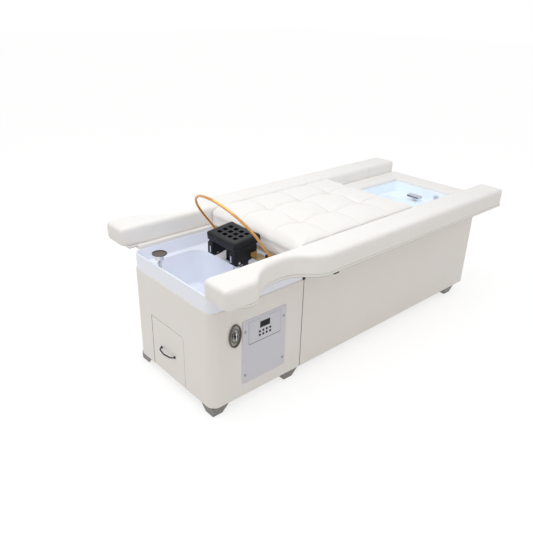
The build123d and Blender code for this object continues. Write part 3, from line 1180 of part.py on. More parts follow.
def make_mixer_plate():
    plate = oval(MIXER_PLATE_HALF_WIDTH, MIXER_PLATE_HALF_HEIGHT, -SIDE_Y, MIXER_PLATE_THICKNESS)
    plate = fillet(plate.faces().sort_by(Axis.Y)[0].edges(), MIXER_PLATE_THICKNESS * HALF)
    plate -= oval(MIXER_PLATE_HALF_WIDTH - MIXER_PLATE_BEAD, MIXER_PLATE_HALF_HEIGHT - MIXER_PLATE_BEAD,
                  -SIDE_Y - MIXER_PLATE_FLOOR, MIXER_PLATE_THICKNESS)
    plate += rod((MIXER_X, -SIDE_Y, MIXER_Z), (0, -1, 0), MIXER_BOSS_HEIGHT, MIXER_BOSS_RADIUS)
    return plate - rod((MIXER_X, -SIDE_Y + OVERRUN, MIXER_Z), (0, -1, 0),
                       MIXER_BOSS_HEIGHT + OVERRUN / HALF, SPINDLE_RADIUS + RUNNING_CLEARANCE)


def make_mixer_valve():
    body = rod((MIXER_X, -SIDE_Y, MIXER_Z), (0, 1, 0), VALVE_LENGTH, VALVE_RADIUS)
    flange_y = WALL - SIDE_Y
    body += rod((MIXER_X, flange_y, MIXER_Z), (0, 1, 0), VALVE_FLANGE_THICKNESS, VALVE_FLANGE_RADIUS)
    tail_y = VALVE_LENGTH - SIDE_Y - VALVE_TAIL_RADIUS - PIPE_WALL
    for direction in (-1, 1):
        body += rod((MIXER_X, tail_y, MIXER_Z), (0, 0, direction), VALVE_RADIUS + VALVE_TAIL_LENGTH,
                    VALVE_TAIL_RADIUS)
    return body - rod((MIXER_X, -SIDE_Y - OVERRUN, MIXER_Z), (0, 1, 0), SPINDLE_REACH + OVERRUN + SEAT_GAP,
                      SPINDLE_RADIUS + RUNNING_CLEARANCE)


def make_mixer_lever():
    base_y = -SIDE_Y - MIXER_BOSS_HEIGHT - SLIDE_CLEARANCE
    half_width = MIXER_LEVER_WIDTH * HALF
    half_length = MIXER_LEVER_LENGTH * HALF
    bar = block(MIXER_X - half_width, MIXER_X + half_width, base_y - MIXER_LEVER_HEIGHT, base_y,
                MIXER_Z - half_length, MIXER_Z + half_length)
    bar = fillet(bar.edges().filter_by(Axis.Y), half_width * (1 - 1 / half_length))
    bar = fillet(bar.faces().sort_by(Axis.Y)[0].edges(), half_width * HALF)
    hub = rod((MIXER_X, base_y, MIXER_Z), (0, -1, 0), MIXER_LEVER_HEIGHT * HALF, MIXER_HUB_RADIUS)
    spindle = rod((MIXER_X, base_y, MIXER_Z), (0, 1, 0), SPINDLE_REACH - SIDE_Y - base_y, SPINDLE_RADIUS)
    return bar + hub + spindle


# Spouts and the drain dial of the foot bath

SPOUT_X = CAB_X + SPOUT_FROM_FRONT
CUP_Z = LEDGE_Z + SPOUT_BASE_THICKNESS + SPOUT_STEM_HEIGHT
DIAL_Z = BATH_SHELF_Z + DIAL_LIFT
BLADE_X = BATH_END_X - BLADE_FROM_END


def make_spout_body():
    body = rod((SPOUT_X, SPOUT_Y, LEDGE_Z), (0, 0, 1), SPOUT_BASE_THICKNESS, SPOUT_BASE_RADIUS)
    body = fillet(body.edges().group_by(Axis.Z)[-1], SPOUT_BASE_THICKNESS * HALF)
    tail_z = LEDGE_Z - SPOUT_TAIL_LENGTH
    body += rod((SPOUT_X, SPOUT_Y, tail_z), (0, 0, 1), CUP_Z - tail_z + SPOUT_CUP_WALL, SPOUT_STEM_RADIUS)
    cup = rod((SPOUT_X, SPOUT_Y, CUP_Z), (0, 0, 1), SPOUT_CUP_HEIGHT, SPOUT_CUP_RADIUS)
    cup -= rod((SPOUT_X, SPOUT_Y, CUP_Z + SPOUT_CUP_WALL), (0, 0, 1), SPOUT_CUP_HEIGHT,
               SPOUT_CUP_RADIUS - SPOUT_CUP_WALL)
    reach = SPOUT_CUP_RADIUS + OVERRUN
    cup -= block(SPOUT_X + SPOUT_STEM_RADIUS + SPOUT_CUP_WALL, SPOUT_X + reach, SPOUT_Y - reach,
                 SPOUT_Y + reach, CUP_Z - OVERRUN, CUP_Z + SPOUT_CUP_HEIGHT + OVERRUN)
    return body + cup


def make_spout_disc():
    low_z = CUP_Z + SPOUT_CUP_HEIGHT
    disc = rod((SPOUT_X, SPOUT_Y, low_z), (0, 0, 1), SPOUT_DISC_THICKNESS, SPOUT_DISC_RADIUS)
    disc = fillet(disc.edges(), SPOUT_DISC_DISH * HALF)
    return disc - rod((SPOUT_X, SPOUT_Y, low_z + SPOUT_DISC_THICKNESS - SPOUT_DISC_DISH), (0, 0, 1),
                      SPOUT_DISC_THICKNESS, SPOUT_DISC_RADIUS - SPOUT_DISC_RIM)


def make_blade_spout():
    half_width = BLADE_WIDTH * HALF
    low_z = BATH_SHELF_Z + BLADE_RISE
    top_z = low_z + BLADE_THICKNESS
    start_x = BLADE_X - BLADE_LENGTH * HALF
    end_x = BLADE_X + BLADE_LENGTH * HALF
    blade = block(start_x, end_x, BLADE_Y - half_width, BLADE_Y + half_width, low_z, top_z)
    blade = fillet(blade.edges().filter_by(Axis.Z), BLADE_ROUND)
    blade -= block(start_x - OVERRUN, end_x - BLADE_STEM_RADIUS, BLADE_Y - half_width + BLADE_WALL,
                   BLADE_Y + half_width - BLADE_WALL, low_z + BLADE_WALL, top_z - BLADE_WALL)
    stem_x = end_x - BLADE_STEM_RADIUS - BLADE_WALL
    stem = rod((stem_x, BLADE_Y, BATH_SHELF_Z), (0, 0, 1), BLADE_RISE + BLADE_WALL, BLADE_STEM_RADIUS)
    base = rod((stem_x, BLADE_Y, BATH_SHELF_Z), (0, 0, 1), BLADE_WALL, BLADE_STEM_RADIUS + BLADE_ROUND)
    return blade + stem + base


def make_foot_dial():
    face_x = BATH_END_X - SLIDE_CLEARANCE
    dial = rod((face_x, DIAL_Y, DIAL_Z), (-1, 0, 0), DIAL_THICKNESS, DIAL_RADIUS)
    dial = fillet(dial.edges().group_by(Axis.X)[0], DIAL_THICKNESS * HALF * HALF)
    front_x = face_x - DIAL_THICKNESS
    dial += block(front_x - DIAL_GRIP, front_x + DIAL_GRIP, DIAL_Y - DIAL_GRIP * HALF,
                  DIAL_Y + DIAL_GRIP * HALF, DIAL_Z - DIAL_RADIUS + DIAL_GRIP, DIAL_Z + DIAL_RADIUS - DIAL_GRIP)
    shaft_length = BATH_WALL + SLIDE_CLEARANCE / HALF + DIAL_NUT_THICKNESS
    dial += rod((face_x, DIAL_Y, DIAL_Z), (1, 0, 0), shaft_length, DIAL_SHAFT_RADIUS)
    nut_x = BATH_END_X + BATH_WALL + SLIDE_CLEARANCE
    dial += rod((nut_x, DIAL_Y, DIAL_Z), (1, 0, 0), DIAL_NUT_THICKNESS, DIAL_NUT_RADIUS)
    mark_z = DIAL_Z - DIAL_RADIUS * HALF
    return dial - rod((front_x - OVERRUN, DIAL_Y - DIAL_RADIUS * HALF, mark_z), (1, 0, 0),
                      OVERRUN + DIAL_MARK_DEPTH, DIAL_MARK_RADIUS)


# Neck rest. Its pillow is drawn in a frame of its own, tilted about the front top edge.

NECK_X = CAB_X + NECK_START
NECK_TOP_Z = LEDGE_Z + NECK_TOP_LIFT
NECK_FRAME = Location((NECK_X, 0, NECK_TOP_Z), (0, -NECK_TILT, 0))
CHEEK_X = NECK_X + CHEEK_FRONT_SETBACK
CHEEK_END_X = CHEEK_X + CHEEK_LENGTH
CHEEK_LOW_Z = LEDGE_Z + CHEEK_LIFT
STAND_X = BOWL_END_X + STAND_FROM_BOWL
STAND_Y = CHEEK_INNER_Y - SLIDE_CLEARANCE
PROP_ROD_X = CHEEK_X + PROP_ROD_FROM_FRONT
PROP_ROD_Y = -(CHEEK_INNER_Y + CHEEK_OUTER_Y) * HALF
PROP_ROD_TOP_Z = LEDGE_Z + PROP_ROD_REACH
STAND_SCREW_X = STAND_X + STAND_WIDTH * HALF
STAND_SCREW_Z = LEDGE_Z + STAND_HEIGHT - STAND_SLOT_TOP_MARGIN - NECK_TRAVEL - CROSS_SCREW_RADIUS / HALF


def make_neck_pillow():
    pillow = block(0, NECK_LENGTH, -NECK_HALF_WIDTH, NECK_HALF_WIDTH, -NECK_THICKNESS, 0)
    pillow = fillet(pillow.edges().filter_by(Axis.Z), NECK_CORNER_RADIUS)
    pillow = chamfer(pillow.faces().sort_by(Axis.Z)[-1].edges(), NECK_CHAMFER)
    pillow -= rounded_block(NECK_SKIN, NECK_LENGTH - NECK_SKIN, NECK_SKIN - NECK_HALF_WIDTH,
                            NECK_HALF_WIDTH - NECK_SKIN, -NECK_THICKNESS - OVERRUN, -NECK_SKIN,
                            NECK_SKIN)
    first_x = (NECK_LENGTH - NECK_HOLE_PITCH_X * (NECK_HOLE_ROWS - 1)) * HALF
    first_y = -NECK_HOLE_PITCH_Y * (NECK_HOLE_COLUMNS - 1) * HALF
    for row in range(NECK_HOLE_ROWS):
        for column in range(NECK_HOLE_COLUMNS):
            place = (first_x + NECK_HOLE_PITCH_X * row, first_y + NECK_HOLE_PITCH_Y * column,
                     -NECK_SKIN - OVERRUN)
            pillow -= rod(place, (0, 0, 1), NECK_SKIN + OVERRUN / HALF, NECK_HOLE_RADIUS)
    return NECK_FRAME * pillow


def neck_screw_places():
    """Side screws of a cheek: (x, z) of the front one and of the one in the stand's slot."""
    return [(CHEEK_X + CROSS_SCREW_FROM_FRONT, CHEEK_LOW_Z + CROSS_SCREW_LIFT),
            (STAND_SCREW_X, STAND_SCREW_Z)]


def make_cheek():
    """The cheek on the +Y side, cut off along the underside of the tilted pillow."""
    cheek = block(CHEEK_X, CHEEK_END_X, CHEEK_INNER_Y, CHEEK_OUTER_Y, CHEEK_LOW_Z, NECK_TOP_Z)
    low_front = cheek.edges().filter_by(Axis.Y).group_by(Axis.Z)[0].sort_by(Axis.X)[0]
    cheek = chamfer(low_front, CHEEK_CHAMFER)
    above = block(-NECK_LENGTH, NECK_LENGTH / HALF, 0, NECK_HALF_WIDTH, -NECK_THICKNESS, NECK_LENGTH)
    cheek -= NECK_FRAME * above
    pocket_low = CHEEK_LOW_Z + CHEEK_POCKET_MARGIN
    pocket_high = NECK_TOP_Z - NECK_THICKNESS - CHEEK_POCKET_MARGIN
    pocket_start = CHEEK_X + CROSS_SCREW_FROM_FRONT + CHEEK_POCKET_MARGIN
    cheek -= rounded_slab(pocket_start, STAND_X - CHEEK_POCKET_MARGIN * HALF,
                          CHEEK_OUTER_Y - CHEEK_POCKET_DEPTH, CHEEK_OUTER_Y + OVERRUN, pocket_low, pocket_high,
                          CHEEK_POCKET_DEPTH)
    for x, z in neck_screw_places():
        cheek -= rod((x, CHEEK_INNER_Y - OVERRUN, z), (0, 1, 0),
                     CHEEK_OUTER_Y - CHEEK_INNER_Y + OVERRUN / HALF, CROSS_SCREW_RADIUS)
    return cheek


def rounded_slab(x0, x1, y0, y1, z0, z1, radius):
    """A box with rounded edges along Y."""
    return fillet(block(x0, x1, y0, y1, z0, z1).edges().filter_by(Axis.Y), radius)


def make_cheeks():
    far_cheek = make_cheek()
    near_cheek = mirrored(far_cheek)
    near_cheek -= rod((PROP_ROD_X, PROP_ROD_Y, CHEEK_LOW_Z - OVERRUN), (0, 0, 1),
                      PROP_ROD_TOP_Z - CHEEK_LOW_Z + OVERRUN / HALF, PROP_ROD_RADIUS + RUNNING_CLEARANCE)
    return group([far_cheek, near_cheek])


def make_neck_fittings():
    """Cross screws and front tabs on both cheeks."""
    pieces = []
    (front_x, front_z), (back_x, back_z) = neck_screw_places()
    inner_y = CHEEK_INNER_Y
    front = rod((front_x, inner_y, front_z), (0, 1, 0), CHEEK_OUTER_Y - inner_y, CROSS_SCREW_RADIUS)
    front += rod((front_x, CHEEK_OUTER_Y, front_z), (0, 1, 0), CROSS_SCREW_DOME, CROSS_SCREW_HEAD)
    front += rod((front_x, inner_y, front_z), (0, -1, 0), CROSS_SCREW_DOME, CROSS_SCREW_HEAD)
    pieces.append(front)
    slot_face_y = STAND_Y - STAND_THICKNESS - SLIDE_CLEARANCE
    back = rod((back_x, slot_face_y, back_z), (0, 1, 0), CHEEK_OUTER_Y - slot_face_y, CROSS_SCREW_RADIUS)
    back += rod((back_x, slot_face_y, back_z), (0, -1, 0), CROSS_SCREW_DOME, CROSS_SCREW_HEAD)
    pieces.append(back)
    tab_low_z = CHEEK_LOW_Z + CHEEK_CHAMFER + TAB_LIFT
    tab_y = CHEEK_INNER_Y + TAB_WIDTH
    pieces.append(block(CHEEK_X - TAB_THICKNESS, CHEEK_X, tab_y, tab_y + TAB_WIDTH, tab_low_z,
                        tab_low_z + TAB_HEIGHT))
    return group([pair(piece) for piece in pieces])


def make_neck_stands():
    """Slotted angle brackets that stand on the basin ledge inside the cheeks."""
    foot_start_y = STAND_Y - STAND_FOOT
    stand = block(STAND_X, STAND_X + STAND_WIDTH, STAND_Y - STAND_THICKNESS, STAND_Y, LEDGE_Z,
                  LEDGE_Z + STAND_HEIGHT)
    stand += block(STAND_X, STAND_X + STAND_WIDTH, foot_start_y, STAND_Y, LEDGE_Z,
                   LEDGE_Z + STAND_THICKNESS)
    slot_half = CROSS_SCREW_RADIUS + SLIDE_CLEARANCE
    slot_low = STAND_SCREW_Z - slot_half
    slot_high = STAND_SCREW_Z + NECK_TRAVEL + slot_half
    slot = rounded_slab(STAND_SCREW_X - slot_half, STAND_SCREW_X + slot_half, foot_start_y,
                        STAND_Y + OVERRUN, slot_low, slot_high, slot_half * (1 - 1 / NECK_TRAVEL))
    return pair(stand - slot)


def make_prop_rod():
    foot_z = BOWL_FLOOR_Z
    rod_body = rod((PROP_ROD_X, PROP_ROD_Y, foot_z), (0, 0, 1), PROP_ROD_TOP_Z - foot_z, PROP_ROD_RADIUS)
    return rod_body + rod((PROP_ROD_X, PROP_ROD_Y, foot_z), (0, 0, 1), PROP_ROD_FOOT_HEIGHT,
                          PROP_ROD_FOOT_RADIUS)


# Water arch on its two arms, clamped by a knob at each pivot

PIVOT_X = CAB_X + PIVOT_FROM_CABINET
PIVOT_Z = LEDGE_Z + PIVOT_LIFT
HUB_INNER_Y = ARCH_HALF_SPAN - ARCH_HUB_LENGTH * HALF
EAR_OUTER_Y = HUB_INNER_Y - SLIDE_CLEARANCE
EAR_INNER_Y = EAR_OUTER_Y - ARM_EAR_THICKNESS
ARM_LOW_Z = LEDGE_Z + ARM_LIFT
ARM_END_Y = ARCH_HALF_SPAN + ARM_TIP


def make_arm():
    """A flat arm from a cheek, with an ear for the pivot at its outer end, on the +Y side."""
    start_x = PIVOT_X - ARM_WIDTH
    arm = block(start_x, PIVOT_X + ARM_EAR_RADIUS, CHEEK_OUTER_Y, ARM_END_Y, ARM_LOW_Z,
                ARM_LOW_Z + ARM_THICKNESS)
    ear = rod((PIVOT_X, EAR_INNER_Y, PIVOT_Z), (0, 1, 0), ARM_EAR_THICKNESS, ARM_EAR_RADIUS)
    ear += block(PIVOT_X - ARM_EAR_RADIUS, PIVOT_X + ARM_EAR_RADIUS, EAR_INNER_Y, EAR_OUTER_Y, ARM_LOW_Z,
                 PIVOT_Z)
    flange = block(start_x, CHEEK_END_X, CHEEK_OUTER_Y, CHEEK_OUTER_Y + ARM_THICKNESS * HALF, ARM_LOW_Z,
                   ARM_LOW_Z + ARM_EAR_RADIUS / HALF)
    arm = arm + ear + flange
    return arm - rod((PIVOT_X, EAR_INNER_Y - OVERRUN, PIVOT_Z), (0, 1, 0),
                     ARM_EAR_THICKNESS + OVERRUN / HALF, PIVOT_RADIUS + RUNNING_CLEARANCE)


def make_arch():
    """A bent tube with straight legs, drilled with jets on its inner side, on two pivot hubs."""
    frame = Plane(origin=(PIVOT_X, 0, PIVOT_Z), x_dir=(0, 1, 0),
                  z_dir=(math.cos(math.radians(ARCH_TILT)), 0, math.sin(math.radians(ARCH_TILT))))
    span = ARCH_HALF_SPAN
    path = Line((-span, 0), (-span, ARCH_LEG))
    path += ThreePointArc((-span, ARCH_LEG), (0, ARCH_LEG + span), (span, ARCH_LEG))
    path += Line((span, ARCH_LEG), (span, 0))
    section = Plane(origin=(-span, 0, 0), z_dir=(0, 1, 0)) * Circle(ARCH_TUBE_RADIUS)
    bore = Plane(origin=(-span, 0, 0), z_dir=(0, 1, 0)) * Circle(ARCH_BORE_RADIUS)
    tube = sweep(section, path=path)
    hub_start = -ARCH_HUB_LENGTH * HALF
    for side in (-span, span):
        tube += rod((side + hub_start, 0, 0), (1, 0, 0), ARCH_HUB_LENGTH, ARCH_HUB_RADIUS)
    tube -= sweep(bore, path=path)
    for i in range(ARCH_JETS):
        angle = math.pi * (i + 1) / (ARCH_JETS + 1)
        centre = (0, ARCH_LEG, 0)
        tube -= rod(centre, (math.cos(angle), math.sin(angle), 0), ARCH_HALF_SPAN, ARCH_JET_RADIUS)
    for side in (-span, span):
        hub_rod = (side + hub_start - OVERRUN, 0, 0)
        tube += rod((side + hub_start, 0, 0), (1, 0, 0), ARCH_HUB_LENGTH, ARCH_HUB_RADIUS)
        tube -= rod(hub_rod, (1, 0, 0), ARCH_HUB_LENGTH + OVERRUN / HALF, PIVOT_RADIUS + RUNNING_CLEARANCE)
    return frame * tube


def make_knob_screw():
    """A lobed clamp knob whose shank is the arch's pivot pin, with a cap nut, on the +Y side."""
    face_y = EAR_INNER_Y - SLIDE_CLEARANCE
    knob = rod((PIVOT_X, face_y, PIVOT_Z), (0, -1, 0), KNOB_LENGTH, KNOB_RADIUS - KNOB_LOBE_RADIUS * HALF)
    for i in range(KNOB_LOBES):
        angle = 2 * math.pi * i / KNOB_LOBES
        reach = KNOB_RADIUS - KNOB_LOBE_RADIUS
        place = (PIVOT_X + reach * math.cos(angle), face_y, PIVOT_Z + reach * math.sin(angle))
        knob += rod(place, (0, -1, 0), KNOB_LENGTH, KNOB_LOBE_RADIUS)
    cap_y = ARCH_HALF_SPAN + ARCH_HUB_LENGTH * HALF + SLIDE_CLEARANCE
    shank = rod((PIVOT_X, face_y, PIVOT_Z), (0, 1, 0), cap_y - face_y, PIVOT_RADIUS)
    cap = rod((PIVOT_X, cap_y, PIVOT_Z), (0, 1, 0), CAP_NUT_LENGTH, CAP_NUT_RADIUS)
    return knob + shank + fillet(cap.edges().group_by(Axis.Y)[-1], CAP_NUT_LENGTH * HALF)


parts["head_cabinet_shell"] = make_head_cabinet()
parts["bed_body_shell"] = make_bed_body()
parts["under_frame"] = make_under_frame()
parts["feet"] = at_each_corner(make_foot)
parts["foot_glides"] = at_each_corner(make_glide)
parts["foot_bolts"] = at_each_corner(make_bolt)
parts["armrest_right"] = mirrored(make_armrest())
parts["armrest_left"] = make_armrest()
parts["armrest_boards"] = pair(make_armrest_board())
parts["steel_bearers"] = make_bearers()
parts["mattress"] = make_mattress()
parts["mattress_board"] = make_mattress_board()
parts["tray_pad"] = make_tray_pad()
parts["tray_board"] = make_tray_board()
parts["foot_bath"] = make_foot_bath()
parts["foot_waste"] = make_waste(BATH_WASTE_X, BATH_FLOOR_Z)
parts["foot_drain_pipe"] = make_foot_drain_pipe()
parts["foot_spout"] = make_blade_spout()
parts["foot_dial"] = make_foot_dial()
parts["head_basin"] = make_head_basin()
parts["head_waste"] = make_waste(HEAD_WASTE_X, BOWL_FLOOR_Z)
parts["head_drain_pipe"] = make_head_drain_pipe()
parts["head_spout_body"] = make_spout_body()
parts["head_spout_disc"] = make_spout_disc()
parts["supply_pipe"] = make_supply_pipe()
parts["water_tank"] = make_water_tank()
parts["circulation_pump"] = make_pump()
parts["mains_gland"] = make_gland()
parts["drawer_front"] = make_drawer_front()
parts["drawer_box"] = make_drawer_box()
parts["drawer_handle"] = make_handle()
parts["drawer_handle_screws"] = make_handle_screws()
parts["drawer_slides"] = make_slides()
parts["drawer_runners"] = make_runners()
parts["control_plate"] = make_control_plate()
parts["control_overlay"] = make_overlay()
parts["display_window"] = make_display()
parts["circuit_board"] = make_circuit_board()
parts["control_box"] = make_control_box()
parts["panel_screws"] = make_panel_screws()
for number, (button_x, button_z) in enumerate(button_places(), start=1):
    parts[f"button_{number}"] = make_button(button_x, button_z)
parts["mixer_plate"] = make_mixer_plate()
parts["mixer_valve"] = make_mixer_valve()
parts["mixer_lever"] = make_mixer_lever()
parts["neck_pillow"] = make_neck_pillow()
parts["neck_cheeks"] = make_cheeks()
parts["neck_fittings"] = make_neck_fittings()
parts["neck_stands"] = make_neck_stands()
parts["neck_prop_rod"] = make_prop_rod()
parts["arch_arms"] = pair(make_arm())
parts["water_arch"] = make_arch()

# The two clamp knobs share no node, because each one turns by itself
knob_screw = make_knob_screw()
parts["clamp_knob_left"] = knob_screw
parts["clamp_knob_right"] = mirrored(knob_screw)

for name, shape in parts.items():
    export_step(shape, f"parts/{name}.step")
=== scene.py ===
"""A head spa bed: finishes, padded pieces and small fittings, laid over its construction frame."""
import json
import logging
import math
from collections.abc import Callable, Iterator
from contextlib import contextmanager
from dataclasses import dataclass, field
from enum import Enum

import bmesh
import bpy
import numpy as np
from mathutils import Matrix, Vector

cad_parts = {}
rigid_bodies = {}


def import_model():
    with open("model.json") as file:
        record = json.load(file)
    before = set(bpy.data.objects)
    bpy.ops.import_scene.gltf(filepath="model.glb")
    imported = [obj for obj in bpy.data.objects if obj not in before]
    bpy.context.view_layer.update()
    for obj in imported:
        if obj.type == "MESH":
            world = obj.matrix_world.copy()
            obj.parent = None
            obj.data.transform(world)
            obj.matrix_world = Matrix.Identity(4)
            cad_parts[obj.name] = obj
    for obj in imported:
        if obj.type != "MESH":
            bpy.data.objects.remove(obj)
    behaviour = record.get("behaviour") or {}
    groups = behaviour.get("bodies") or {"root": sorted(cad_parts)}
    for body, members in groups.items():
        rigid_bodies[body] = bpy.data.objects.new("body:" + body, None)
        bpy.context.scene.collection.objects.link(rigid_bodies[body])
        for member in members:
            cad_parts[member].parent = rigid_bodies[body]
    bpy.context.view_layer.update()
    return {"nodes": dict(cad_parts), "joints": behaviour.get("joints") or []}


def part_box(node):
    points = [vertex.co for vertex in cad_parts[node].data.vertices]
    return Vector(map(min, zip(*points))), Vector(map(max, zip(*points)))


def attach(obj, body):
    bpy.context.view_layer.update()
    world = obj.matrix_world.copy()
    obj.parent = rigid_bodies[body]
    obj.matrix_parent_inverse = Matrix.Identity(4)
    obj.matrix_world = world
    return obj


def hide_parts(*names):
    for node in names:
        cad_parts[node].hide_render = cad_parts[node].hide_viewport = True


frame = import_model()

LOG = logging.getLogger("head_spa_bed")

MM = 0.001
HAIR = 0.1 * MM  # two places closer than this count as one
HAIR_DIGITS = 4  # decimals of a metre that tell two places a hair apart
TINY = 1e-9  # keeps a length from being zero where it divides
FACING = 0.9  # two directions count as one where their cosine is above this
SOFT_ANGLE = 80.0  # degrees, for padded pieces and thread
CAST_ANGLE = 60.0  # degrees, for pieces without a sharp edge
WHITE = (1.0, 1.0, 1.0, 1.0)

Point = tuple[float, float, float]
Colour = tuple[float, float, float, float]


class Body(Enum):
    """The bodies of the frame that a piece can ride on."""

    BED = "bed"
    NECK = "neck"
    ARCH = "arch"
    DRAWER = "drawer"
    MIXER = "mixer"


class Grain(Enum):
    """How the surface of a finish was made."""

    PEBBLED = "pebbled"
    POLISHED = "polished"
    MOULDED = "moulded"
    SAWN = "sawn"


def linear(hex_colour: str) -> Colour:
    """Turn an sRGB hex colour into linear values.

    Args:
        hex_colour: A colour such as "#F3F1EE".

    Returns:
        Red, green, blue and alpha for a shader socket.
    """
    values = [int(hex_colour[i:i + 2], 16) / 255 for i in (1, 3, 5)]
    red, green, blue = [v / 12.92 if v <= 0.04045 else ((v + 0.055) / 1.055) ** 2.4 for v in values]
    return red, green, blue, 1.0


def add_node(tree: bpy.types.NodeTree, kind: str, inputs: dict | None = None,
             **settings) -> bpy.types.Node:
    """Add one shader node with its settings and links.

    Args:
        tree: The node tree to add to.
        kind: The node's type name.
        inputs: Socket names or numbers, each with a value or with another node's output.
        **settings: Attributes of the node itself.

    Returns:
        The new node.
    """
    node = tree.nodes.new(kind)
    for name, value in settings.items():
        setattr(node, name, value)
    for name, value in (inputs or {}).items():
        if isinstance(value, bpy.types.NodeSocket):
            tree.links.new(value, node.inputs[name])
        else:
            node.inputs[name].default_value = value
    return node


@dataclass(frozen=True)
class Finish:
    """A surface finish: its colours, gloss and the pattern that its making leaves.

    The second colour is where the first drifts to in soft patches. Lengths that end in mm are in millimetres.
    An edge counts as flat or as sharp by the cosine between its normal and the rounded one. The lighter edge
    colour is partly wear and partly a painted highlight; the glow is painted light, an emission on a surface
    that is no lamp; the crease colour is painted shade in folds.
    """

    name: str
    colour: str
    drift: str
    roughness: float
    roughness_drift: float = 0.05
    metallic: float = 0.0
    coat: float = 0.0
    coat_roughness: float = 0.08
    grain: Grain = Grain.MOULDED
    grain_mm: float = 2.0
    grain_depth_mm: float = 0.05
    grain_strength: float = 0.6
    patch_mm: float = 120.0
    wrinkle_mm: float = 0.0
    wrinkle_depth_mm: float = 0.0
    wrinkle_distortion: float = 0.6
    stretch: Point = (1.0, 1.0, 1.0)
    specular: float = 0.5
    glow: float = 0.0
    edge_wear_highlight_colour: str = ""
    edge_mark_mm: float = 0.8
    edge_mark_share: float = 0.7
    edge_mark_samples: int = 4
    flat_cosine: float = 0.985
    sharp_cosine: float = 0.8
    crease_shade_colour: str = ""

    def material(self) -> bpy.types.Material:
        """Build the material, unless it is there already.

        Returns:
            The finish's one material.
        """
        known = bpy.data.materials.get(self.name)
        if known:
            return known
        material = bpy.data.materials.new(self.name)
        material.use_nodes = True
        tree = material.node_tree
        tree.nodes.clear()
        place = add_node(tree, "ShaderNodeTexCoord").outputs["Object"]
        patches = add_node(tree, "ShaderNodeTexNoise", {
            "Vector": place, "Scale": 1 / (self.patch_mm * MM), "Detail": 3.0}).outputs["Fac"]
        gloss = add_node(tree, "ShaderNodeMapRange", {
            "Value": patches, "To Min": self.roughness - self.roughness_drift,
            "To Max": self.roughness + self.roughness_drift}).outputs["Result"]
        tint = self.blend(tree, patches, linear(self.colour), linear(self.drift))
        # The emission is painted light: with a glow set, the surface looks lit from within though it is no
        # lamp.
        shader = add_node(tree, "ShaderNodeBsdfPrincipled", {
            "Base Color": self.paint_edge_wear_and_highlight(tree, self.creases(tree, tint)), "Roughness": gloss,
            "Normal": self.relief(tree, place), "Metallic": self.metallic, "Coat Weight": self.coat,
            "Coat Roughness": self.coat_roughness, "Specular IOR Level": self.specular,
            "Emission Color": linear(self.colour), "Emission Strength": self.glow})
        add_node(tree, "ShaderNodeOutputMaterial", {"Surface": shader.outputs["BSDF"]})
        return material

    def blend(self, tree: bpy.types.NodeTree, share: bpy.types.NodeSocket,
              first: bpy.types.NodeSocket | Colour, second: Colour) -> bpy.types.NodeSocket:
        """Blend two colours.

        Args:
            tree: The material's node tree.
            share: The output that gives the second colour's share.
            first: The first colour.
            second: The second colour.

        Returns:
            The output that gives the blend.
        """
        return add_node(tree, "ShaderNodeMix", {"Factor": share, "A": first, "B": second},
                        data_type="RGBA").outputs["Result"]

    def creases(self, tree: bpy.types.NodeTree, colour: bpy.types.NodeSocket) -> bpy.types.NodeSocket:
        """Paint shade into the colour where the cover is folded into a crease.

        Args:
            tree: The material's node tree.
            colour: The colour so far.

        Returns:
            The colour with its painted crease shade.
        """
        if not self.crease_shade_colour:
            return colour
        depth = add_node(tree, "ShaderNodeAttribute", attribute_name="crease").outputs["Fac"]
        return self.blend(tree, depth, colour, linear(self.crease_shade_colour))

    def paint_edge_wear_and_highlight(self, tree: bpy.types.NodeTree, colour: bpy.types.NodeSocket) -> bpy.types.NodeSocket:
        """Lighten the colour along the edges: partly wear, partly a painted highlight.

        Args:
            tree: The material's node tree.
            colour: The colour so far.

        Returns:
            The colour with its lightened edges.
        """
        if not self.edge_wear_highlight_colour:
            return colour
        rounded_normal = add_node(tree, "ShaderNodeBevel", {"Radius": self.edge_mark_mm * MM},
                                  samples=self.edge_mark_samples)
        normal = add_node(tree, "ShaderNodeNewGeometry").outputs["Normal"]
        alike = add_node(tree, "ShaderNodeVectorMath", {0: rounded_normal.outputs["Normal"], 1: normal},
                         operation="DOT_PRODUCT").outputs["Value"]
        edge_lightening = add_node(tree, "ShaderNodeMapRange", {
            "Value": alike, "From Min": self.flat_cosine, "From Max": self.sharp_cosine,
            "To Min": 0.0, "To Max": self.edge_mark_share}).outputs["Result"]
        return self.blend(tree, edge_lightening, colour, linear(self.edge_wear_highlight_colour))

    def relief(self, tree: bpy.types.NodeTree, place: bpy.types.NodeSocket) -> bpy.types.NodeSocket:
        """Add the fine grain and the broad wrinkles as bumps.

        Args:
            tree: The material's node tree.
            place: The output that gives the object coordinates.

        Returns:
            The normal to link to the shader.
        """
        scaled = add_node(tree, "ShaderNodeMapping", {"Vector": place, "Scale": self.stretch})
        pattern = {"Vector": scaled.outputs["Vector"], "Scale": 1 / (self.grain_mm * MM)}
        if self.grain is Grain.PEBBLED:
            height = add_node(tree, "ShaderNodeTexVoronoi", pattern, feature="SMOOTH_F1").outputs["Distance"]
        else:
            height = add_node(tree, "ShaderNodeTexNoise", {**pattern, "Detail": 2.0}).outputs["Fac"]
        fine = add_node(tree, "ShaderNodeBump", {
            "Height": height, "Distance": self.grain_depth_mm * MM,
            "Strength": self.grain_strength}).outputs["Normal"]
        if not self.wrinkle_mm:
            return fine
        folds = add_node(tree, "ShaderNodeTexNoise", {
            "Vector": place, "Scale": 1 / (self.wrinkle_mm * MM), "Detail": 1.0,
            "Distortion": self.wrinkle_distortion})
        return add_node(tree, "ShaderNodeBump", {
            "Height": folds.outputs["Fac"], "Distance": self.wrinkle_depth_mm * MM, "Strength": 1.0,
            "Normal": fine}).outputs["Normal"]
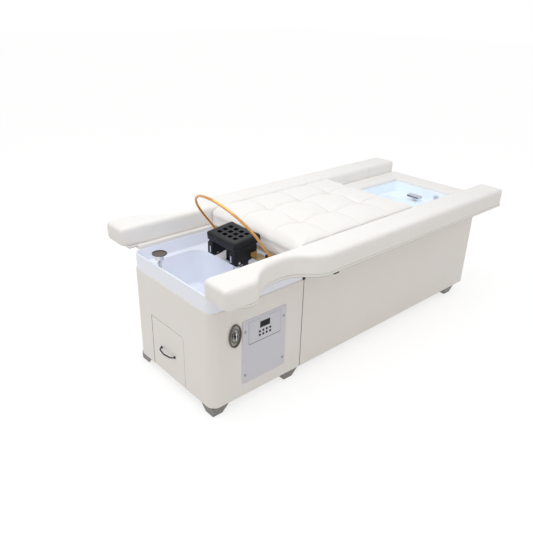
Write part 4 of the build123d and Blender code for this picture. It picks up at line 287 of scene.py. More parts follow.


# Polyurethane leatherette, embossed on rollers and pulled over foam: a soft sheen, a pebbled grain and
# shallow pulls. The real grain is about 0.8 mm, too fine to show here, so it is drawn at 3 mm.
# Its crease colour is painted shade, laid into the mattress's creases and tufts and along the armrest's seam.
LEATHERETTE = Finish("polyurethane_leatherette", "#F5F4F2", "#F2F0ED", 0.46, grain=Grain.PEBBLED,
                     grain_mm=3.0, grain_depth_mm=0.25, patch_mm=260, wrinkle_mm=90, wrinkle_depth_mm=1.2,
                     crease_shade_colour="#C9C2BB")
# Spun-bonded lining stapled over the boards' undersides: dark grey, dull and felted; its edge paints the
# shadow line under the armrest
LINING_PAINTED_SHADOW = Finish("lining_as_painted_shadow", "#8B8680", "#7F7A74", 0.9, 0.04, grain_mm=1.5, grain_depth_mm=0.15,
                     patch_mm=60, specular=0.1)
# The same leatherette stapled tight over a board, so that it has less give. Its colour is a shade warmer than
# the padded leatherette's: painted warm bounce light, as the sides get
TIGHT_LEATHERETTE = Finish("leatherette_over_board", "#F4F1EE", "#F1EEEA", 0.44, grain=Grain.PEBBLED,
                           grain_mm=3.0, grain_depth_mm=0.2, patch_mm=320, wrinkle_mm=160,
                           wrinkle_depth_mm=0.8)
# Vacuum-formed sanitary acrylic: a deep wet gloss, faintly blue, with a slight ripple from the mould. The
# sheet is translucent; its faint glow is painted light, an emission that stands in for light passing through
# it.
ACRYLIC = Finish("sanitary_acrylic", "#E8ECF6", "#E3E8F4", 0.14, 0.04, coat=0.4, grain_mm=60,
                 grain_depth_mm=0.15, patch_mm=200, specular=0.35, glow=0.12)
# The same sheet drawn thinner for the foot bath, with a stronger painted glow standing in for the light that
# passes through
BATH_ACRYLIC = Finish("thin_sanitary_acrylic", "#E9F2FC", "#E4EEFA", 0.14, 0.04, coat=0.4, grain_mm=60,
                      grain_depth_mm=0.15, patch_mm=200, specular=0.35, glow=0.16)
# Steel castings, polished and plated with black chrome: dark mirror with faint smudges
BLACK_CHROME = Finish("black_chrome_plate", "#4B4C50", "#414246", 0.2, 0.06, metallic=1.0,
                      grain=Grain.POLISHED, grain_mm=6, grain_depth_mm=0.02, patch_mm=25,
                      edge_wear_highlight_colour="#8B8B8C", edge_mark_mm=1.2)
# Brass turned and plated with bright chrome: a clear mirror, a little duller where it is handled
BRIGHT_CHROME = Finish("bright_chrome_plate", "#D6D8DB", "#C9CBCF", 0.1, 0.05, metallic=1.0,
                       grain=Grain.POLISHED, grain_mm=8, grain_depth_mm=0.01, patch_mm=30)
# Drawn brass tube, lacquered: warm copper-gold with fine marks along the tube
LACQUERED_BRASS = Finish("lacquered_brass", "#E6B06A", "#D2944C", 0.2, 0.06, metallic=1.0, coat=0.3,
                         grain=Grain.POLISHED, grain_mm=2, grain_depth_mm=0.03, patch_mm=40,
                         stretch=(1.0, 0.3, 1.0))
# The same brass in flat bar for the arms, brushed before it was lacquered: paler and duller
BRUSHED_BRASS = Finish("brushed_brass", "#C9B08A", "#B79C72", 0.36, 0.06, metallic=1.0, coat=0.15,
                       grain=Grain.POLISHED, grain_mm=1.5, grain_depth_mm=0.04, patch_mm=30,
                       stretch=(1.0, 0.2, 1.0))
# Zinc castings for the feet, plated with bright nickel: grey mirror, its lighter edges partly scuffs and
# partly a painted highlight
NICKEL_CASTING = Finish("nickel_plated_casting", "#86847F", "#75736F", 0.24, 0.07, metallic=1.0,
                        grain=Grain.POLISHED, grain_mm=6, grain_depth_mm=0.03, patch_mm=25,
                        edge_wear_highlight_colour="#B9B7B3", edge_mark_mm=1.6)
# Brushed zinc plate, nickel plated: grey with a satin line
BRUSHED_NICKEL = Finish("brushed_nickel", "#A29E99", "#8D8984", 0.34, 0.08, metallic=1.0,
                        grain=Grain.POLISHED, grain_mm=1.2, grain_depth_mm=0.05, patch_mm=18,
                        stretch=(1.0, 1.0, 0.1), edge_wear_highlight_colour="#D8D5D0")
# The same plate tarnished brown, as on the spout's disc
BROWN_NICKEL = Finish("tarnished_nickel", "#6F655C", "#5B524A", 0.3, 0.08, metallic=1.0, grain=Grain.POLISHED,
                      grain_mm=1.2, grain_depth_mm=0.05, patch_mm=18, edge_wear_highlight_colour="#C9C5C0")
# Injection-moulded ABS with a fine spark-eroded texture: near black, satin
BLACK_ABS = Finish("black_abs", "#1B1C22", "#15161A", 0.42, 0.06, grain_mm=1.6, grain_depth_mm=0.12,
                   patch_mm=50, specular=0.22, edge_wear_highlight_colour="#3A3C44", edge_mark_mm=1.2)
# The same plastic coloured dark red for the lower row of buttons
RED_ABS = Finish("dark_red_abs", "#4A171C", "#3C1216", 0.38, 0.05, grain_mm=1.6, grain_depth_mm=0.08,
                 patch_mm=20, specular=0.22)
# Acrylic sheet printed on its back in pale blue-grey: flat, glossy. Its lighter edge colour is a painted
# highlight along the bevel
PRINTED_ACRYLIC = Finish("printed_acrylic_sheet", "#D6D7E0", "#D1D2DC", 0.2, 0.05, coat=0.4, grain_mm=40,
                         grain_depth_mm=0.04, patch_mm=90, edge_wear_highlight_colour="#ECEDF2", edge_mark_mm=1.5)
# Polyester film with a hard matt coat, a shade lighter than the sheet under it
POLYESTER_FILM = Finish("polyester_film", "#DADBE3", "#D5D6DF", 0.36, 0.05, grain_mm=1.2, grain_depth_mm=0.03,
                        patch_mm=60)
# Screen-printed ink under the film: matt dark grey
SCREEN_INK = Finish("screen_printed_ink", "#A2A3AA", "#9B9CA4", 0.5, 0.05, grain_mm=1.0, grain_depth_mm=0.02,
                    patch_mm=30, specular=0.2)
# A dark grey line along the film's foot: darker and duller than the printed border
DARK_FOOT_LINE = Finish("dark_line_at_film_foot", "#5E5954", "#55504C", 0.85, 0.05, grain_mm=1.2, grain_depth_mm=0.2,
                   patch_mm=15, specular=0.15)
# Closed-cell foam strip squeezed into a joint, dark grey and dull: it paints the shadow in joints and reveals
SHADOW_GAP_FOAM = Finish("shadow_gap_foam", "#5E5954", "#55504C", 0.85, 0.05, grain_mm=1.2, grain_depth_mm=0.2,
                    patch_mm=15, specular=0.15)
# Smoked acrylic over the display: black and glossy
SMOKED_ACRYLIC = Finish("smoked_acrylic", "#0B0B0D", "#0E0E11", 0.12, 0.03, coat=0.05, grain_mm=30,
                        grain_depth_mm=0.02, patch_mm=20, specular=0.15)
# Mild steel, powder coated black: slightly pimpled from the spray
POWDER_COAT = Finish("powder_coated_steel", "#1F2022", "#262729", 0.5, 0.06, grain_mm=1.5,
                     grain_depth_mm=0.12, patch_mm=60, edge_wear_highlight_colour="#55565A", edge_mark_mm=1.0)
# Zinc-plated steel screws and slides: pale grey, slightly blue and patchy
ZINC_PLATE = Finish("zinc_plated_steel", "#B4B7BC", "#9CA0A6", 0.3, 0.08, metallic=1.0, grain=Grain.POLISHED,
                    grain_mm=3, grain_depth_mm=0.03, patch_mm=12)
# Birch plywood, sanded and lacquered: pale tan with a long grain
BIRCH_PLYWOOD = Finish("birch_plywood", "#D8BE97", "#C3A478", 0.48, 0.08, grain=Grain.SAWN, grain_mm=3,
                       grain_depth_mm=0.1, patch_mm=45, stretch=(0.08, 1.0, 1.0))
# Extruded and welded grey PVC pipe: smooth and dull
GREY_PVC = Finish("grey_pvc", "#8C9094", "#82868A", 0.42, 0.05, grain_mm=12, grain_depth_mm=0.05, patch_mm=80)
# Blow-moulded polyethylene: milky white, waxy
POLYETHYLENE = Finish("milky_polyethylene", "#DADDDB", "#CED2D0", 0.5, 0.05, grain_mm=25, grain_depth_mm=0.3,
                      patch_mm=140)
# Glass-fibre laminate under green solder mask
SOLDER_MASK = Finish("green_solder_mask", "#1E5A36", "#184B2D", 0.35, 0.06, grain_mm=2, grain_depth_mm=0.06,
                     patch_mm=15)
# Moulded nitrile rubber: black, dull
NITRILE_RUBBER = Finish("nitrile_rubber", "#1B1B1C", "#222223", 0.78, 0.05, grain_mm=1.5, grain_depth_mm=0.15,
                        patch_mm=20)
# Neutral sanitary silicone, smoothed with a wet finger: white and slightly shiny
SILICONE = Finish("sanitary_silicone", "#F6F6F5", "#F1F1F0", 0.28, 0.05, grain_mm=14, grain_depth_mm=0.2,
                  patch_mm=60)
# Soft silicone that lime doesn't stick to: translucent grey, slightly waxy
JET_SILICONE = Finish("jet_silicone", "#8E8A86", "#827E7A", 0.4, 0.05, grain_mm=2, grain_depth_mm=0.05,
                      patch_mm=6)
# Polyester thread, twisted and bonded, a shade darker than the leatherette
THREAD = Finish("bonded_thread", "#E4E1DC", "#DAD6D0", 0.6, 0.05, grain_mm=1.0, grain_depth_mm=0.1,
                patch_mm=20)

NODE_FINISHES: dict[Finish, tuple[str, ...]] = {
    TIGHT_LEATHERETTE: ("head_cabinet_shell", "bed_body_shell", "drawer_front", "tray_board"),
    ACRYLIC: ("head_basin",),
    BATH_ACRYLIC: ("foot_bath",),
    BRIGHT_CHROME: ("head_waste", "foot_waste", "head_spout_body", "foot_spout", "foot_dial",
                    "neck_prop_rod", "neck_fittings"),
    BRUSHED_NICKEL: ("mixer_plate",),
    BROWN_NICKEL: ("head_spout_disc",),
    LACQUERED_BRASS: ("water_arch",),
    BRUSHED_BRASS: ("arch_arms",),
    BLACK_ABS: ("clamp_knob_left", "clamp_knob_right", "button_1", "button_2", "button_3", "button_4"),
    RED_ABS: ("button_5", "button_6", "button_7", "button_8"),
    PRINTED_ACRYLIC: ("control_plate",),
    POLYESTER_FILM: ("control_overlay",),
    SMOKED_ACRYLIC: ("display_window",),
    POWDER_COAT: ("under_frame", "neck_stands"),
    ZINC_PLATE: ("panel_screws", "drawer_handle_screws", "drawer_slides", "drawer_runners", "foot_bolts",
                 "mixer_valve"),
    BIRCH_PLYWOOD: ("mattress_board", "drawer_box"),
    GREY_PVC: ("head_drain_pipe", "foot_drain_pipe", "supply_pipe", "control_box", "mains_gland",
               "circulation_pump"),
    POLYETHYLENE: ("water_tank",),
    SOLDER_MASK: ("circuit_board",),
    NITRILE_RUBBER: ("foot_glides",),
}


# Modelling helpers

def side_name(side: int) -> str:
    """Name a side of the bed: left for 1 and right for -1."""
    return "left" if side > 0 else "right"


def select_none() -> None:
    """Deselect every object."""
    for item in bpy.context.view_layer.objects:
        item.select_set(False)


def select_only(*pieces: bpy.types.Object) -> None:
    """Select some objects and nothing else, and make the first one active.

    Args:
        *pieces: The objects.
    """
    select_none()
    for piece in pieces:
        piece.select_set(True)
    bpy.context.view_layer.objects.active = pieces[0]


@contextmanager
def editing(piece: bpy.types.Object) -> Iterator[bmesh.types.BMesh]:
    """Open a piece in edit mode with nothing selected.

    Args:
        piece: The mesh object to edit.

    Yields:
        Its edit mesh.
    """
    select_only(piece)
    bpy.ops.object.mode_set(mode="EDIT")
    bpy.ops.mesh.select_all(action="DESELECT")
    yield bmesh.from_edit_mesh(piece.data)
    bpy.ops.object.mode_set(mode="OBJECT")


def pick(piece: bpy.types.Object, items: bmesh.types.BMEdgeSeq | bmesh.types.BMFaceSeq,
         test: Callable) -> None:
    """Select the edges or the faces that pass a test, and nothing else.

    Args:
        piece: The object in edit mode.
        items: Its edit mesh's edges or faces.
        test: A function of one edge or face.
    """
    bpy.ops.mesh.select_mode(type="EDGE" if isinstance(items, bmesh.types.BMEdgeSeq) else "FACE")
    bpy.ops.mesh.select_all(action="DESELECT")
    for item in items:
        item.select_set(test(item))
    bmesh.update_edit_mesh(piece.data)


def settle(piece: bpy.types.Object, name: str) -> bpy.types.Object:
    """Name a piece and move its place, turn and size into its mesh.

    Args:
        piece: The new object.
        name: Its name.

    Returns:
        The same object.
    """
    select_only(piece)
    bpy.ops.object.transform_apply(location=True, rotation=True, scale=True)
    piece.name = name
    return piece


def add_shape(name: str, add: Callable, scale: Point = (1, 1, 1), **settings) -> bpy.types.Object:
    """Add one of Blender's own shapes and settle it.

    Args:
        name: The piece's name.
        add: The operator that adds the shape.
        scale: How far it is stretched along each of its own axes.
        **settings: The operator's settings.

    Returns:
        The new object.
    """
    select_none()
    add(**settings)
    piece = bpy.context.object
    piece.scale = scale
    return settle(piece, name)


def add_modifier(piece: bpy.types.Object, kind: str, **settings) -> None:
    """Add a modifier with its settings and apply it.

    Args:
        piece: The mesh object.
        kind: The modifier's type.
        **settings: Its settings.
    """
    modifier = piece.modifiers.new(kind.title(), kind)
    for name, value in settings.items():
        setattr(modifier, name, value)
    select_only(piece)
    bpy.ops.object.modifier_apply(modifier=modifier.name)


def smooth(piece: bpy.types.Object, degrees: float = 35.0) -> None:
    """Shade a piece smooth, but for edges sharper than an angle.

    Args:
        piece: The mesh object.
        degrees: The angle.
    """
    select_only(piece)
    bpy.ops.object.shade_smooth_by_angle(angle=math.radians(degrees))


def ease_edges(piece: bpy.types.Object, width: float, segments: int = 3) -> None:
    """Round a piece's sharp edges and shade it smooth.

    Args:
        piece: The mesh object.
        width: The rounding's width.
        segments: How many facets it is drawn with.
    """
    add_modifier(piece, "BEVEL", width=width, segments=segments, limit_method="ANGLE")
    smooth(piece)


def dress(piece: bpy.types.Object, finish: Finish, body: Body) -> None:
    """Give a finished piece its material, and let it ride on a body.

    Args:
        piece: The mesh object.
        finish: Its finish.
        body: The body that it rides on.
    """
    piece.data.materials.clear()
    piece.data.materials.append(finish.material())
    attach(piece, body.value)


def gridded_box(name: str, low: Point, high: Point, cuts: tuple[int, int, int]) -> bpy.types.Object:
    """Make a box whose faces are divided into an even grid.

    Args:
        name: The piece's name.
        low: Its lowest corner.
        high: Its highest corner.
        cuts: How many times it is cut along each axis.

    Returns:
        The new object.
    """
    piece = add_shape(name, bpy.ops.mesh.primitive_cube_add, [b - a for a, b in zip(low, high)], size=1.0,
                      location=[(a + b) / 2 for a, b in zip(low, high)])
    with editing(piece) as mesh:
        for axis in range(3):
            others = [i for i in range(3) if i != axis]
            pick(piece, mesh.edges, lambda edge: all(abs(edge.verts[0].co[i] - edge.verts[1].co[i]) < HAIR
                                                     for i in others))
            bpy.ops.mesh.subdivide(number_cuts=cuts[axis])
    return piece


def vectors_of(items: bpy.types.bpy_prop_collection, key: str) -> np.ndarray:
    """Read one vector from each item of a mesh.

    Args:
        items: The mesh's vertices or their normals.
        key: The vector's name.

    Returns:
        Rows of x, y and z.
    """
    flat = np.zeros(len(items) * 3)
    items.foreach_get(key, flat)
    return flat.reshape(-1, 3)


def points_of(piece: bpy.types.Object) -> np.ndarray:
    """Read a mesh's vertices as rows of x, y and z."""
    return vectors_of(piece.data.vertices, "co")


def move_points(piece: bpy.types.Object, points: np.ndarray) -> None:
    """Write a mesh's vertices back from rows of x, y and z."""
    piece.data.vertices.foreach_set("co", points.ravel())
    piece.data.update()


def push_out(piece: bpy.types.Object, amounts: np.ndarray) -> None:
    """Move each vertex along its normal by its own amount, in metres."""
    normals = vectors_of(piece.data.vertex_normals, "vector")
    move_points(piece, points_of(piece) + normals * amounts[:, None])


def mark_crease_shade(piece: bpy.types.Object, values: np.ndarray) -> None:
    """Store how deep in a crease each vertex lies, from 0 to 1, for the finish to paint as shade."""
    layer = piece.data.attributes.get("crease") or piece.data.attributes.new("crease", "FLOAT", "POINT")
    layer.data.foreach_set("value", np.clip(values, 0, 1).astype(np.float32))


def rounded(points: np.ndarray, low: Point, high: Point, low_radii: Point, high_radii: Point) -> np.ndarray:
    """Round the edges and corners of a gridded box.

    Args:
        points: The box's vertices.
        low: Its lowest corner.
        high: Its highest corner.
        low_radii: The rounding's reach from the low side, along each axis.
        high_radii: The rounding's reach from the high side, along each axis.

    Returns:
        The moved vertices.
    """
    low_core = np.add(low, low_radii)
    high_core = np.subtract(high, high_radii)
    core = np.clip(points, low_core, high_core)
    radii = np.where(points < low_core, low_radii, high_radii)
    out = (points - core) / radii
    most = np.abs(out).max(axis=1, keepdims=True)
    length = np.linalg.norm(out, axis=1, keepdims=True)
    return core + out * np.where(length > 0, most / np.maximum(length, TINY), 0) * radii


def bead_along(name: str, path: list[Point], radius: float, sides: int = 4) -> bpy.types.Object:
    """Make a round bead that follows a path.

    Args:
        name: The piece's name.
        path: The points that it passes through.
        radius: Half its thickness.
        sides: Half the number of sides that it is drawn with, less two.

    Returns:
        The new mesh object.
    """
    curve = bpy.data.curves.new(name, "CURVE")
    curve.dimensions = "3D"
    curve.bevel_depth = radius
    curve.bevel_resolution = sides
    curve.use_fill_caps = True
    line = curve.splines.new("POLY")
    line.points.add(len(path) - 1)
    for knot, place in zip(line.points, path):
        knot.co = (*place, 1.0)
    piece = bpy.data.objects.new(name, curve)
    bpy.context.scene.collection.objects.link(piece)
    select_only(piece)
    bpy.ops.object.convert(target="MESH")
    piece = bpy.context.object
    piece.name = name
    return piece


def stitch_row(name: str, path: list[Vector], pitch: float = 6.5 * MM, length: float = 4.5 * MM,
               thickness: float = 0.9 * MM, facets: tuple[int, int] = (8, 6)) -> bpy.types.Object:
    """Lay a row of thread stitches along a path, each a short bead with rounded ends.

    Args:
        name: The piece's name.
        path: The points that the row follows.
        pitch: The distance from one stitch to the next.
        length: How much of each pitch the thread shows.
        thickness: The thread's thickness.
        facets: How many facets a stitch has round it and along it.

    Returns:
        The new mesh object.
    """
    steps = np.cumsum([0.0] + [(b - a).length for a, b in zip(path, path[1:])])
    places = np.array(path)

    def at(distance: float) -> Vector:
        """Find the point at a distance along the path."""
        return Vector([np.interp(distance, steps, places[:, i]) for i in range(3)])

    stitches = []
    for number in range(int(steps[-1] / pitch)):
        start, end = at(number * pitch), at(number * pitch + length)
        stitches.append(add_shape(name, bpy.ops.mesh.primitive_uv_sphere_add,
                                  (thickness, thickness, (end - start).length), segments=facets[0],
                                  ring_count=facets[1], radius=0.5, location=(start + end) / 2,
                                  rotation=(end - start).to_track_quat("Z", "X").to_euler()))
    select_only(*stitches)
    bpy.ops.object.join()
    row = bpy.context.object
    row.name = name
    smooth(row, SOFT_ANGLE)
    return row


def arc_points(centre: tuple[float, float], radius: float, start: float, end: float, steps: int,
               height: float) -> list[Point]:
    """Give points along a level arc.

    Args:
        centre: Its centre's x and y.
        radius: Its radius.
        start: The angle where it starts, in degrees.
        end: The angle where it ends, in degrees.
        steps: How many steps it is drawn with.
        height: The height that it lies at.

    Returns:
        The points, with both ends.
    """
    angles = [math.radians(start + (end - start) * i / steps) for i in range(steps + 1)]
    return [(centre[0] + radius * math.cos(a), centre[1] + radius * math.sin(a), height) for a in angles]


# Padded pieces

@dataclass(frozen=True)
class Unevenness:
    """A smooth random unevenness, as foam and its cover have.

    The depth is its usual reach to either side, and the wavelength the usual distance from crest to crest.
    """

    depth: float
    wavelength: float
    seed: int
    waves: int = 9
    spread: tuple[float, float] = (0.7, 1.5)

    def at(self, points: np.ndarray, shift: int = 0) -> np.ndarray:
        """Add up waves of random directions.

        Args:
            points: Where they are read.
            shift: What is added to the seed, for another pattern of the same kind.

        Returns:
            One height for each point, in metres.
        """
        chance = np.random.default_rng(self.seed + shift)
        total = np.zeros(len(points))
        for _ in range(self.waves):
            direction = chance.normal(size=3)
            direction /= np.linalg.norm(direction)
            turns = points @ direction * (chance.uniform(*self.spread) / self.wavelength) + chance.uniform()
            total += np.sin(2 * math.pi * turns)
        return self.depth * (total / math.sqrt(self.waves * 2))


@dataclass(frozen=True)
class Cover:
    """How a cover stretches like cloth over its foam, in the simulation's own units.

    The limit is the furthest that a vertex may move, in metres.
    """

    limit: float = 6 * MM
    pressure: float = 4.0
    mass: float = 0.3
    stretch: float = 12.0
    bending: float = 0.4
    quality: int = 4
    frames: int = 20
    least_hold: float = 0.01

    def plump(self, piece: bpy.types.Object, held: np.ndarray) -> None:
        """Let the foam swell the cover, without gravity.

        Args:
            piece: The closed padded mesh.
            held: How firmly each vertex is held, from 0 to 1.
        """
        before = points_of(piece)
        group = piece.vertex_groups.new(name="held")
        for index in np.flatnonzero(held > self.least_hold):
            group.add([int(index)], float(held[index]), "REPLACE")
        modifier = piece.modifiers.new("Cover", "CLOTH")
        settings = modifier.settings
        settings.quality = self.quality
        settings.mass = self.mass
        settings.tension_stiffness = self.stretch
        settings.compression_stiffness = self.stretch
        settings.bending_stiffness = self.bending
        settings.use_pressure = True
        settings.uniform_pressure_force = self.pressure
        settings.vertex_group_mass = group.name
        settings.effector_weights.gravity = 0.0
        modifier.point_cache.frame_start = 1
        modifier.point_cache.frame_end = self.frames
        scene = bpy.context.scene
        for step in range(1, self.frames + 1):
            scene.frame_set(step)
        shown = piece.evaluated_get(bpy.context.evaluated_depsgraph_get()).data
        moved = vectors_of(shown.vertices, "co") - before
        piece.modifiers.remove(modifier)
        scene.frame_set(1)
        length = np.linalg.norm(moved, axis=1, keepdims=True)
        LOG.info("%s: the cover moved up to %.1f mm", piece.name, length.max() / MM)
        move_points(piece, before + moved * np.minimum(1, self.limit / np.maximum(length, TINY)))


@dataclass
class Mattress:
    """The tufted mattress: a crowned pad pulled down at six tufts, with creases from tuft to tuft.

    A fall is how far the top drops at an end, and a reach is the distance over which a form dies away. Shares
    give a form's depth far from a tuft, and how much deeper it is beside one. A power sets how late a form
    turns steep.
    """

    cell: float = 8 * MM
    layers: int = 11
    edge: float = 14 * MM
    base_edge: float = 8 * MM
    head_fall: float = 46 * MM
    head_reach: float = 84 * MM
    head_power: float = 2.2
    foot_fall: float = 12 * MM
    foot_reach: float = 34 * MM
    crown: float = 14 * MM
    crown_power: float = 3
    side_dish: float = 2.0 * MM
    side_power: float = 6
    side_height: float = 30 * MM
    tuft_first: float = 224.5 * MM
    tuft_pitch: float = 232 * MM
    tuft_rows: int = 3
    tuft_side: float = 120 * MM
    tuft_depth: float = 13 * MM
    tuft_reach: float = 24 * MM
    tuft_power: float = 1.2
    held_reach: float = 14 * MM
    held_height: float = 60 * MM
    still_height: float = 12 * MM
    valley_depth: float = 6 * MM
    valley_width: float = 44 * MM
    valley_reach: float = 58 * MM
    valley_shares: tuple[float, float] = (0.5, 1.5)
    crease_depth: float = 4.5 * MM
    crease_width: float = 6.5 * MM
    crease_reach: float = 50 * MM
    crease_shares: tuple[float, float] = (0.8, 1.2)
    gather_depth: float = 0.9 * MM
    gather_ring: float = 30 * MM
    gather_width: float = 20 * MM
    gather_count: int = 14
    shade_line_width: float = 3.5 * MM
    shade_pit_reach: float = 13 * MM
    shade_line_shares: tuple[float, float] = (0.3, 0.5)
    give: tuple[Unevenness, ...] = (Unevenness(0.5 * MM, 95 * MM, 3), Unevenness(0.25 * MM, 38 * MM, 4))
    cover: Cover = Cover()
    finish: Finish = LEATHERETTE
    low: Vector = field(init=False)
    high: Vector = field(init=False)

    def __post_init__(self) -> None:
        """Take the pad's place from the frame."""
        self.low, self.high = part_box("mattress")

    def build(self) -> None:
        """Model the pad and dress it."""
        low, high = tuple(self.low), tuple(self.high)
        cuts = (int((high[0] - low[0]) / self.cell), int((high[1] - low[1]) / self.cell), self.layers)
        piece = gridded_box("tufted_mattress", low, high, cuts)
        points = rounded(points_of(piece), low, high, (self.edge, self.edge, self.base_edge),
                         (self.edge,) * 3)
        move_points(piece, self.drawn_in(self.swollen(points)))
        self.cover.plump(piece, self.held(points_of(piece)))
        add_modifier(piece, "SUBSURF", levels=1, render_levels=1)
        move_points(piece, self.creased(points_of(piece)))
        points = points_of(piece)
        off_base = np.clip((points[:, 2] - low[2]) / self.still_height, 0, 1)
        push_out(piece, sum(wave.at(points) for wave in self.give) * off_base)
        # Painted shade: darken the cover in the creases and round the tufts.
        mark_crease_shade(piece, self.crease_shade_share(points_of(piece)))
        smooth(piece, SOFT_ANGLE)
        dress(piece, self.finish, Body.BED)
        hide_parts("mattress")

    def from_middle(self, points: np.ndarray) -> tuple[np.ndarray, np.ndarray]:
        """Give each vertex's place in the pad's outline.

        Args:
            points: The pad's vertices.

        Returns:
            Its place along the bed and across it, each from -1 to 1.
        """
        middle = (self.low + self.high) / 2
        half = (self.high - self.low) / 2
        return (points[:, 0] - middle[0]) / half[0], (points[:, 1] - middle[1]) / half[1]

    def to_lines(self, points: np.ndarray) -> tuple[np.ndarray, np.ndarray, np.ndarray]:
        """Measure how far each vertex lies from the creases and the tufts.

        Args:
            points: The pad's vertices.

        Returns:
            Distances from the nearest crease across the bed, the nearest one along it and the nearest tuft.
        """
        across = [self.low[0] + self.tuft_first + self.tuft_pitch * i for i in range(self.tuft_rows)]
        to_across = np.min([np.abs(points[:, 0] - line) for line in across], axis=0)
        to_along = np.abs(np.abs(points[:, 1]) - self.tuft_side)
        return to_across, to_along, np.hypot(to_across, to_along)

    def share_of_height(self, points: np.ndarray) -> np.ndarray:
        """Give how much of a drop in the top each vertex follows.

        Args:
            points: The pad's vertices.

        Returns:
            1 on the top, falling to 0 near the base.
        """
        bottom = self.low[2] + self.side_height
        return np.clip((points[:, 2] - bottom) / (self.high[2] - bottom), 0, 1) ** 2

    def held(self, points: np.ndarray) -> np.ndarray:
        """Give how firmly each vertex is held: on the base and at the tufts.

        Args:
            points: The pad's vertices.

        Returns:
            Weights from 0 to 1.
        """
        to_tuft = self.to_lines(points)[2]
        height = points[:, 2] - self.low[2]
        at_tuft = np.exp(-(to_tuft / self.held_reach) ** 2) * (height > self.held_height)
        return np.maximum(at_tuft, np.clip(1 - height / self.held_reach, 0, 1))

    def swollen(self, points: np.ndarray) -> np.ndarray:
        """Crown the top, round its two ends and press broad valleys from tuft to tuft.

        Args:
            points: The rounded pad's vertices.

        Returns:
            The moved vertices.
        """
        points = points.copy()
        x = points[:, 0]
        u, v = self.from_middle(points)
        power = self.crown_power
        crown = self.crown * (1 - np.abs(u) ** power) * (1 - np.abs(v) ** power) - self.crown
        to_across, to_along, to_tuft = self.to_lines(points)
        valley = self.valley_depth * np.exp(-(np.minimum(to_across, to_along) / self.valley_width) ** 2)
        valley *= self.valley_shares[0] + self.valley_shares[1] * np.exp(-to_tuft / self.valley_reach)
        pit = self.tuft_depth * np.exp(-(to_tuft / self.tuft_reach) ** self.tuft_power)
        from_head = np.clip(1 - (x - self.low[0]) / self.head_reach, 0, 1)
        from_foot = np.clip(1 - (self.high[0] - x) / self.foot_reach, 0, 1)
        drop = crown - valley - pit
        drop -= self.head_fall * (1 - np.sqrt(1 - from_head ** self.head_power))
        drop -= self.foot_fall * (1 - np.sqrt(1 - from_foot ** 2))
        points[:, 2] += drop * self.share_of_height(points)
        return points

    def creased(self, points: np.ndarray) -> np.ndarray:
        """Press the stitched creases and the gathers at each tuft into the top.

        Args:
            points: The settled pad's vertices.

        Returns:
            The moved vertices.
        """
        points = points.copy()
        to_across, to_along, to_tuft = self.to_lines(points)
        crease = self.crease_depth * np.exp(-np.minimum(to_across, to_along) / self.crease_width)
        crease *= self.crease_shares[0] + self.crease_shares[1] * np.exp(-to_tuft / self.crease_reach)
        gather = self.gather_depth * np.sin(np.arctan2(to_along, to_across) * self.gather_count)
        gather *= np.exp(-((to_tuft - self.gather_ring) / self.gather_width) ** 2)
        points[:, 2] -= (crease - gather) * self.share_of_height(points)
        return points

    def crease_shade_share(self, points: np.ndarray) -> np.ndarray:
        """Give how deep in a crease or a tuft each vertex lies, as the share of painted shade there.

        Args:
            points: The finished pad's vertices.

        Returns:
            Values from 0 to 1.
        """
        to_across, to_along, to_tuft = self.to_lines(points)
        line = np.exp(-(np.minimum(to_across, to_along) / self.shade_line_width) ** 2)
        line *= self.shade_line_shares[0] + self.shade_line_shares[1] * np.exp(-to_tuft / self.crease_reach)
        pit = np.exp(-(to_tuft / self.shade_pit_reach) ** 2)
        return np.maximum(line, pit) * self.share_of_height(points)

    def drawn_in(self, points: np.ndarray) -> np.ndarray:
        """Draw the sides in between the corners.

        Args:
            points: The pad's vertices.

        Returns:
            The moved vertices.
        """
        u, v = self.from_middle(points)
        points = points.copy()
        points[:, 0] -= self.side_dish * np.sign(u) * np.abs(u) ** self.side_power * (1 - v ** 2)
        points[:, 1] -= self.side_dish * np.sign(v) * np.abs(v) ** self.side_power * (1 - u ** 2)
        return points


